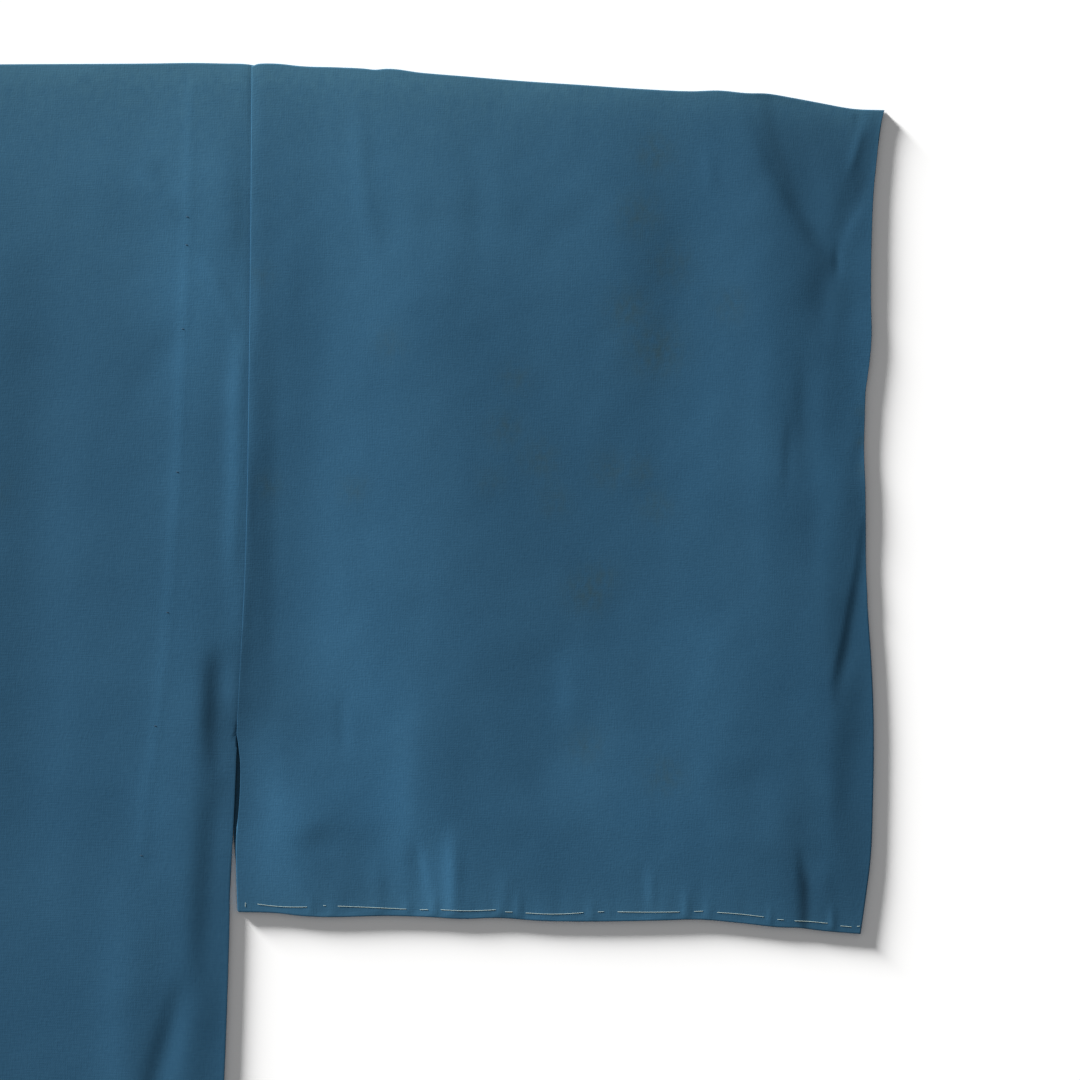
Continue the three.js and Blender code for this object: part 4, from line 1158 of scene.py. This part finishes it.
def collar_section():
    """Place across the band, height off its middle, and place on the cut, round the strip."""
    share = np.concatenate([[0, 0.004, 0.012, 0.03], np.linspace(0.07, 1, BAND_COLUMNS - 4)])
    across = share * (COLLAR_WIDTH - BAND_HALF)
    height = mix(SEAM_PINCH, BAND_HALF, rounded(across, BAND_ROUND))
    turn = np.linspace(-math.pi / 2, math.pi / 2, EDGE_TURN + 2)[1:-1]
    place = np.concatenate([across, across[-1] + BAND_HALF * np.cos(turn), across[::-1]])
    lift = np.concatenate([-height, BAND_HALF * np.sin(turn), height[::-1]])
    cut = np.concatenate([across, across[-1] + BAND_HALF * (turn + math.pi / 2),
                          2 * COLLAR_WIDTH - across[::-1]])
    return place, lift, cut


# %% Making the collar
PUFF, PUFF_SIZE = 0.00012, 0.040  # the doubled band is a little uneven, in waves of this size


def lay_collar(name):
    right, left = collar_stations(-1, right_level), collar_stations(1, left_level)
    stations = right[:0:-1] + left
    place, lift, cut = collar_section()
    seam = np.array([s.seam for s in stations])[:, None]
    free = np.array([s.free for s in stations])[:, None]
    normal = np.array([s.normal for s in stations])[:, None]
    along = np.concatenate([[0], np.cumsum(np.linalg.norm(np.diff(seam[:, 0], axis=0), axis=1))])
    wave = waver(*np.broadcast_arrays(along[:, None], place[None, :]), PUFF_SIZE, 4.4)
    puff = PUFF * wave * (lift > 0) * (place / COLLAR_WIDTH)
    points = seam + (free - seam) * (place / COLLAR_WIDTH)[None, :, None]
    points = points + normal * (lift[None, :] + puff)[..., None]
    band = cloth_grid(name, len(place), len(stations))
    move_points(band, points[..., 0], points[..., 1], points[..., 2])
    set_cut_uv(band, *np.broadcast_arrays(cut[None, :], along[:, None]))
    plain = np.zeros(points.shape[:2])
    fading_and_light = plain + 0.5 * np.exp(-(((place - COLLAR_WIDTH) / 0.004) ** 2))
    store_marks(band, True, (fading_and_light, plain, plain), (0, 0, 0))
    thicken(band)
    return band


collar = lay_collar("collar_cloth")

# %% [markdown]
# ## Silk
#
# Plain silk is a fine weave of slightly uneven threads, a little rough in tone along both
# directions, with a low, soft sheen. A photographed cloth texture could be wrapped round it, but
# it would repeat and blur. Nodes draw the weave at its real size instead. They read the UV map,
# which holds places on the flat cut, so the threads follow the cloth over its folds. Weave and
# marks of age, with the painted light and shade in their masks, are node groups, because the
# body, the sleeves and the collar share them.

# %% Node helpers
def group_socket(group, name, kind, output=False, value=None):
    socket = group.interface.new_socket(
        name=name, in_out="OUTPUT" if output else "INPUT", socket_type=kind)
    if value is not None:
        socket.default_value = value


def add_node(tree, kind, **settings):
    node = tree.nodes.new(kind)
    for key, value in settings.items():
        setattr(node, key, value)
    return node


def link(tree, source, target):
    tree.links.new(source, target)


def maths(tree, operation, first, second=None):
    node = add_node(tree, "ShaderNodeMath", operation=operation)
    for socket, value in zip(node.inputs, (first, second)):
        if isinstance(value, (int, float)):
            socket.default_value = value
        elif value is not None:
            link(tree, value, socket)
    return node.outputs[0]


def stretched_noise(tree, vector, scale, detail=2.0):
    """Noise whose grains are stretched by a scale of its own in each direction."""
    mapping = add_node(tree, "ShaderNodeMapping")
    mapping.inputs["Scale"].default_value = (*scale, 1)
    link(tree, vector, mapping.inputs["Vector"])
    grains = add_node(tree, "ShaderNodeTexNoise", noise_dimensions="2D")
    grains.inputs["Scale"].default_value = 1
    grains.inputs["Detail"].default_value = detail
    link(tree, mapping.outputs[0], grains.inputs["Vector"])
    return grains.outputs["Fac"]


def new_group(name, inputs, outputs):
    """A node group with float sockets and one vector input for the place on the cut."""
    group = bpy.data.node_groups.new(name, "ShaderNodeTree")
    group_socket(group, "Cut", "NodeSocketVector")
    for socket in inputs:
        group_socket(group, socket, "NodeSocketFloat", value=1.0)
    for socket in outputs:
        group_socket(group, socket, "NodeSocketFloat", output=True)
    print("node group:", name, "gives", outputs)
    return group, add_node(group, "NodeGroupInput"), add_node(group, "NodeGroupOutput")


def painted(name):
    """A new material, its node tree and its shader."""
    material = bpy.data.materials.new(name)
    material.use_nodes = True
    return material, material.node_tree, material.node_tree.nodes["Principled BSDF"]


# %% The weave
THREAD_PITCH = 0.00042  # centre to centre of neighbouring threads


def make_weave_group():
    group, start, end = new_group("plain_weave", ["Unevenness"], ["Height", "Tone"])
    cut = start.outputs["Cut"]
    parts = add_node(group, "ShaderNodeSeparateXYZ")
    link(group, cut, parts.inputs[0])
    turns = math.pi / THREAD_PITCH
    warp = maths(group, "SINE", maths(group, "MULTIPLY", parts.outputs["X"], turns))
    weft = maths(group, "SINE", maths(group, "MULTIPLY", parts.outputs["Y"], turns))
    crossing = maths(group, "MULTIPLY", warp, weft)
    warp_slub = stretched_noise(group, cut, (1700, 160))
    weft_slub = stretched_noise(group, cut, (160, 1700))
    slubs = maths(group, "ADD", warp_slub, weft_slub)
    crepe = maths(group, "MULTIPLY", stretched_noise(group, cut, (620, 700)), 0.8)
    centred = maths(group, "SUBTRACT", maths(group, "ADD", slubs, crepe), 1.4)
    uneven = maths(group, "MULTIPLY", centred, start.outputs["Unevenness"])
    height = maths(group, "ADD", maths(group, "MULTIPLY", crossing, 0.35), uneven)
    link(group, height, end.inputs["Height"])
    link(group, maths(group, "ADD", uneven, 0.5), end.inputs["Tone"])
    return group


weave_group = make_weave_group()


# %% Marks on the silk
def make_marks_group():
    """Turns the stored masks into fading with its painted light, and stains, with broken outlines, and
    clouds the dye.
    """
    group, start, end = new_group(
        "age_marks_and_light", ["Faded and lit mask", "Stained mask"], ["Fading", "Stain", "Cloud"])
    cut = start.outputs["Cut"]
    patchy = stretched_noise(group, cut, (240, 170), 4.0)
    worn_and_lit = maths(group, "MULTIPLY", start.outputs["Faded and lit mask"], maths(group, "ADD", patchy, 0.4))
    broken = maths(group, "MULTIPLY", maths(group, "SUBTRACT", patchy, 0.22), 2.2)
    stain = maths(group, "MULTIPLY", start.outputs["Stained mask"], broken)
    stain = maths(group, "MAXIMUM", stain, 0.0)
    link(group, maths(group, "MINIMUM", worn_and_lit, 1.0), end.inputs["Fading"])
    link(group, maths(group, "MINIMUM", stain, 1.0), end.inputs["Stain"])
    link(group, stretched_noise(group, cut, (22, 16), 3.0), end.inputs["Cloud"])
    return group


marks_group = make_marks_group()

# %% Mixing colours, and fine relief
BUMP_DISTANCE = 0.0001  # height of the finest relief, a quarter of a thread's pitch


def blend_colour(tree, first, second, share):
    """Mixes two colours or sockets by the share that a socket gives."""
    node = add_node(tree, "ShaderNodeMix", data_type="RGBA")
    for socket, value in ((node.inputs[6], first), (node.inputs[7], second)):
        if isinstance(value, tuple):
            socket.default_value = (*value, 1)
        else:
            link(tree, value, socket)
    link(tree, share, node.inputs[0])
    return node.outputs[2]


def fine_bump(tree, shader, height, strength):
    bump = add_node(tree, "ShaderNodeBump")
    bump.inputs["Strength"].default_value = strength
    bump.inputs["Distance"].default_value = BUMP_DISTANCE
    link(tree, height, bump.inputs["Height"])
    link(tree, bump.outputs[0], shader.inputs["Normal"])


# %% The silk material
BLUE = {
    "deep": (0.0171, 0.0637, 0.1188),
    "light": (0.0287, 0.0918, 0.1590),
    # pale greenish blue of faded dye, also used to paint light along the folds
    "worn_and_lit": (0.0540, 0.1395, 0.1935),
    "stained": (0.0295, 0.0655, 0.0850),
}
WEAVE_TONE, CLOUD_TONE = 0.45, 0.55  # shares of weave and clouds in the mix of deep and light
WORN_AND_LIT_SHARE = 0.5
WEAVE_ROUGHNESS = 0.12


def make_silk(name, roughness, deep, light, worn_and_lit, stained):
    material, tree, shader = painted(name)
    cut = add_node(tree, "ShaderNodeUVMap").outputs[0]
    weave = add_node(tree, "ShaderNodeGroup", node_tree=weave_group)
    marks = add_node(tree, "ShaderNodeGroup", node_tree=marks_group)
    for node in (weave, marks):
        link(tree, cut, node.inputs["Cut"])
    for mask, socket in (("faded_and_lit", "Faded and lit mask"), ("stained", "Stained mask")):
        reader = add_node(tree, "ShaderNodeAttribute", attribute_name=mask)
        link(tree, reader.outputs["Fac"], marks.inputs[socket])
    cloud = maths(tree, "MULTIPLY", marks.outputs["Cloud"], CLOUD_TONE)
    threads = maths(tree, "MULTIPLY", weave.outputs["Tone"], WEAVE_TONE)
    tone = maths(tree, "ADD", threads, cloud)
    colour = blend_colour(tree, deep, light, tone)
    # paler and greener where the dye is faded and where light is painted along the folds
    fading_and_light = maths(tree, "MULTIPLY", marks.outputs["Fading"], WORN_AND_LIT_SHARE)
    colour = blend_colour(tree, colour, worn_and_lit, fading_and_light)
    colour = blend_colour(tree, colour, stained, marks.outputs["Stain"])
    # the dye mask scales the colour: uneven dye, and painted light and shade
    dye_and_shading = add_node(tree, "ShaderNodeAttribute", attribute_name="dye_and_shading")
    dyed_and_shaded = add_node(tree, "ShaderNodeVectorMath", operation="SCALE")
    link(tree, colour, dyed_and_shaded.inputs[0])
    link(tree, maths(tree, "ADD", dye_and_shading.outputs["Fac"], 1.0), dyed_and_shaded.inputs["Scale"])
    link(tree, dyed_and_shaded.outputs[0], shader.inputs["Base Color"])
    uneven = maths(tree, "MULTIPLY", weave.outputs["Tone"], WEAVE_ROUGHNESS)
    link(tree, maths(tree, "ADD", uneven, roughness), shader.inputs["Roughness"])
    fine_bump(tree, shader, weave.outputs["Height"], 0.25)
    shader.inputs["Specular IOR Level"].default_value = 0.05
    shader.inputs["Sheen Weight"].default_value = 0.05
    shader.inputs["Sheen Roughness"].default_value = 0.4
    shader.inputs["Sheen Tint"].default_value = (0.45, 0.68, 0.9, 1)
    print("material:", name, "with", len(tree.nodes), "nodes")
    return material


silk = make_silk("blue_silk", roughness=0.56, **BLUE)
collar_silk = make_silk("blue_silk_collar", roughness=0.58, **BLUE)

# %% [markdown]
# ## Each cloth stands for its solid
#
# The imported solids are thick, plain sheets that the simulation needs. They could be painted and
# shown, but a solid a millimetre thick has no hem. Each cloth hides the solid it was made from
# and rides on the same body.


def finish_with(piece, material):
    """Gives a piece its finish and lets it ride on the one body of the model."""
    piece.data.materials.clear()
    piece.data.materials.append(material)
    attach(piece, "root")


def dress(cloth, node, material):
    finish_with(cloth, material)
    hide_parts(node)


dress(sleeve_left, "sleeve_left", silk)
dress(sleeve_right, "sleeve_right", silk)
dress(body_left, "body_left", silk)
dress(body_right, "body_right", silk)
dress(collar, "collar", collar_silk)

# %% [markdown]
# ## Basting
#
# New or freshly washed silk keeps a line of loose basting along its sleeve seams: one thread that
# shows as a long stitch, a short one, and so on, and hides between them. It could be drawn by the
# material, but a thread has a shadow and stands up from the cloth. So each stitch is a low arc of
# thread that starts and ends in the cloth, all of them one curve object, turned into a mesh.

# %% Sewing on a cloth
Stitch = namedtuple("Stitch", "start end sag", defaults=[0])  # start and end: (half, depth)
THREAD_RADIUS = 0.0001
STITCH_POINTS = 13
STITCH_ENTRY = 0.0004  # over this length a stitch comes out of the cloth
SUNK, RESTING = -1.3, 0.3  # height of the thread's middle over the cloth, in radii


def cloth_height(cloth, x, y):
    """Upper side of a cloth at a place, found by looking straight down at it."""
    hit, place, _, _ = cloth.ray_cast(Vector((x, y, 0.1)), Vector((0, 0, -1)))
    assert hit, (x, y)
    return place.z


def stitch_points(cloth, side, stitch, radius):
    """Points of one stitch, sunk into the cloth only at its two ends."""
    start, end = np.array(stitch.start), np.array(stitch.end)
    entry = min(STITCH_ENTRY / np.linalg.norm(end - start), 0.2)
    for share in (0, *np.linspace(entry, 1 - entry, STITCH_POINTS - 2), 1):
        half, depth = mix(start, end, share)
        x, y = side * half, SHOULDER_Y - depth - stitch.sag * math.sin(math.pi * share)
        lift = radius * (SUNK if share in (0, 1) else RESTING)
        yield (x, y, cloth_height(cloth, x, y) + lift, 1)


def sew(name, cloth, side, stitches, radius):
    """One mesh of threads lying on the cloth."""
    curve = bpy.data.curves.new(name, "CURVE")
    curve.dimensions = "3D"
    curve.bevel_depth = radius
    curve.bevel_resolution = 2
    curve.use_fill_caps = True
    for stitch in stitches:
        line = curve.splines.new("POLY")
        line.points.add(STITCH_POINTS - 1)
        for point, place in zip(line.points, stitch_points(cloth, side, stitch, radius)):
            point.co = place
    thread = bpy.data.objects.new(name, curve)
    bpy.context.collection.objects.link(thread)
    make_active(thread)
    bpy.ops.object.convert(target="MESH")
    bpy.ops.object.shade_smooth()
    print(f"{name}: {len(stitches)} stitches")
    return bpy.context.object


# %% Basting of the left sleeve
BASTING_LEFT = [
    Stitch((0.3259, 0.4714), (0.3259, 0.4742)),
    Stitch((0.3326, 0.4724), (0.3608, 0.4740), 0.0007),
    Stitch((0.3697, 0.4733), (0.3714, 0.4733)),
    Stitch((0.3778, 0.4736), (0.4168, 0.4753), -0.0001),
    Stitch((0.4241, 0.4756), (0.4291, 0.4756)),
    Stitch((0.4358, 0.4756), (0.4672, 0.4756), 0.0006),
    Stitch((0.4722, 0.4768), (0.4766, 0.4769)),
    Stitch((0.4837, 0.4774), (0.5165, 0.4772), 0.0008),
    Stitch((0.5244, 0.4768), (0.5281, 0.4767)),
    Stitch((0.5354, 0.4768), (0.5708, 0.4768), 0.0002),
    Stitch((0.5786, 0.4766), (0.5840, 0.4764)),
    Stitch((0.5916, 0.4771), (0.6183, 0.4797), -0.0003),
    Stitch((0.6255, 0.4811), (0.6295, 0.4813)),
    Stitch((0.6352, 0.4819), (0.6541, 0.4833), -0.0003),
    Stitch((0.6611, 0.4847), (0.6676, 0.4853)),
    Stitch((0.6703, 0.4850), (0.6722, 0.4849)),
]
basting_left = sew("basting_left", sleeve_left, 1, BASTING_LEFT, THREAD_RADIUS)

# %% The other sleeve's basting follows its own seam
LONG_STITCH, SHORT_STITCH, SKIP = 0.034, 0.005, 0.0065


def even_basting(first, last, above_edge):
    stitches = []
    at = first
    long = True
    while at < last:
        end = min(at + (LONG_STITCH if long else SHORT_STITCH), last)
        depths = [float(follow(SLEEVE_BOTTOM, h - SLEEVE_ROOT)) - above_edge for h in (at, end)]
        stitches.append(Stitch((at, depths[0]), (end, depths[1])))
        at = end + SKIP
        long = not long
    return stitches


basting_right = sew("basting_right", sleeve_right, -1,
                    even_basting(first=0.334, last=0.668, above_edge=0.0065), THREAD_RADIUS)

# %% Tiny stitches that hold the seam allowance inside the body
ALLOWANCE_DEPTHS = (0.0852, 0.1010, 0.1483, 0.2290, 0.3080, 0.3720, 0.4450)
TICK_HALF = 0.0008
TICK_RADIUS = 0.00012


def allowance_stitches(name, cloth, side):
    ticks = []
    for tick_depth in ALLOWANCE_DEPTHS:
        half = float(follow([(depth, half) for half, depth in ALLOWANCE], tick_depth))
        ticks.append(Stitch((half - TICK_HALF, tick_depth), (half + TICK_HALF, tick_depth)))
    return sew(name, cloth, side, ticks, TICK_RADIUS)


ticks_left = allowance_stitches("allowance_stitches_left", body_left, 1)
ticks_right = allowance_stitches("allowance_stitches_right", body_right, -1)

# %% [markdown]
# ## Thread
#
# Basting thread is soft spun cotton, matt and off-white; its colour here is tinted with the silk's
# blue as a painted reflection, and the tiny stitches are sewn in the silk's own colour. A plain
# colour could do at this size, but spun fibres mottle a thread, so a fine noise mixes two shades
# of it and roughens it a little.

# %% Thread materials
def make_thread(name, colour, shade, roughness):
    material, tree, shader = painted(name)
    place = add_node(tree, "ShaderNodeTexCoord").outputs["Object"]
    grains = add_node(tree, "ShaderNodeTexNoise")
    grains.inputs["Scale"].default_value = 1800
    link(tree, place, grains.inputs["Vector"])
    mottled = blend_colour(tree, shade, colour, grains.outputs["Fac"])
    link(tree, mottled, shader.inputs["Base Color"])
    fine_bump(tree, shader, grains.outputs["Fac"], 0.4)
    shader.inputs["Roughness"].default_value = roughness
    print("material:", name)
    return material


# the thread's blue tint is a painted reflection of the silk
basting_thread = make_thread("basting_thread", (0.31, 0.39, 0.36), (0.26, 0.33, 0.31), 0.85)
blue_thread = make_thread("blue_thread", (0.010, 0.034, 0.064), (0.007, 0.022, 0.042), 0.7)
for piece in (basting_left, basting_right):
    finish_with(piece, basting_thread)
for piece in (ticks_left, ticks_right):
    finish_with(piece, blue_thread)

# %% [markdown]
# ## Table
#
# The garment lies on a plain, pale surface. A curved backdrop would also do, but seen from above a
# wide flat plane looks the same. It is stage, so it isn't part of the object.

# %% Table
TABLE_SIZE, TABLE_LEVEL = 12, -0.0002  # wide enough to fill every view, just under the cloth
deselect_all()
bpy.ops.mesh.primitive_plane_add(size=TABLE_SIZE, location=(0, 0, TABLE_LEVEL))
table = bpy.context.object
table.name = "table"
table_paint, _, table_shader = painted("table_paint")
table_shader.inputs["Base Color"].default_value = (0.97, 0.97, 0.97, 1)
table_shader.inputs["Roughness"].default_value = 0.9
table.data.materials.append(table_paint)
print("table at", TABLE_LEVEL)

# %% [markdown]
# ## Light
#
# An even light from all sides would be kind to the silk and hide every crease. One lamp from the
# upper left, low over the table, makes them readable and gives a soft shadow along the right and
# lower edges, and a bright sky fills the rest. The colours are shown as they are, without a film
# look.

# %% Light
LAMP_ELEVATION = math.radians(7.7)
LAMP_BEARING = math.radians(136)  # from +X, anticlockwise: upper left in the picture
LAMP_STRENGTH = 18.8
LAMP_ANGLE = math.radians(11)  # the wider, the softer the shadow's edge
SKY_STRENGTH = 0.27

bpy.ops.object.light_add(type="SUN", location=(-1, 1, 1))
lamp = bpy.context.object
lamp.name = "lamp"
towards = Vector((
    math.cos(LAMP_ELEVATION) * math.cos(LAMP_BEARING),
    math.cos(LAMP_ELEVATION) * math.sin(LAMP_BEARING),
    math.sin(LAMP_ELEVATION),
))
lamp.rotation_mode = "QUATERNION"
lamp.rotation_quaternion = towards.to_track_quat("Z", "Y")
lamp.data.energy = LAMP_STRENGTH
lamp.data.angle = LAMP_ANGLE
lamp.data.color = (1.0, 0.995, 0.985)

world = bpy.data.worlds.new("sky")
world.use_nodes = True
background = world.node_tree.nodes["Background"]
background.inputs["Color"].default_value = (0.985, 0.99, 1, 1)
background.inputs["Strength"].default_value = SKY_STRENGTH
bpy.context.scene.world = world
bpy.context.scene.view_settings.view_transform = "Standard"
print("lamp shines from", [round(v, 3) for v in towards])
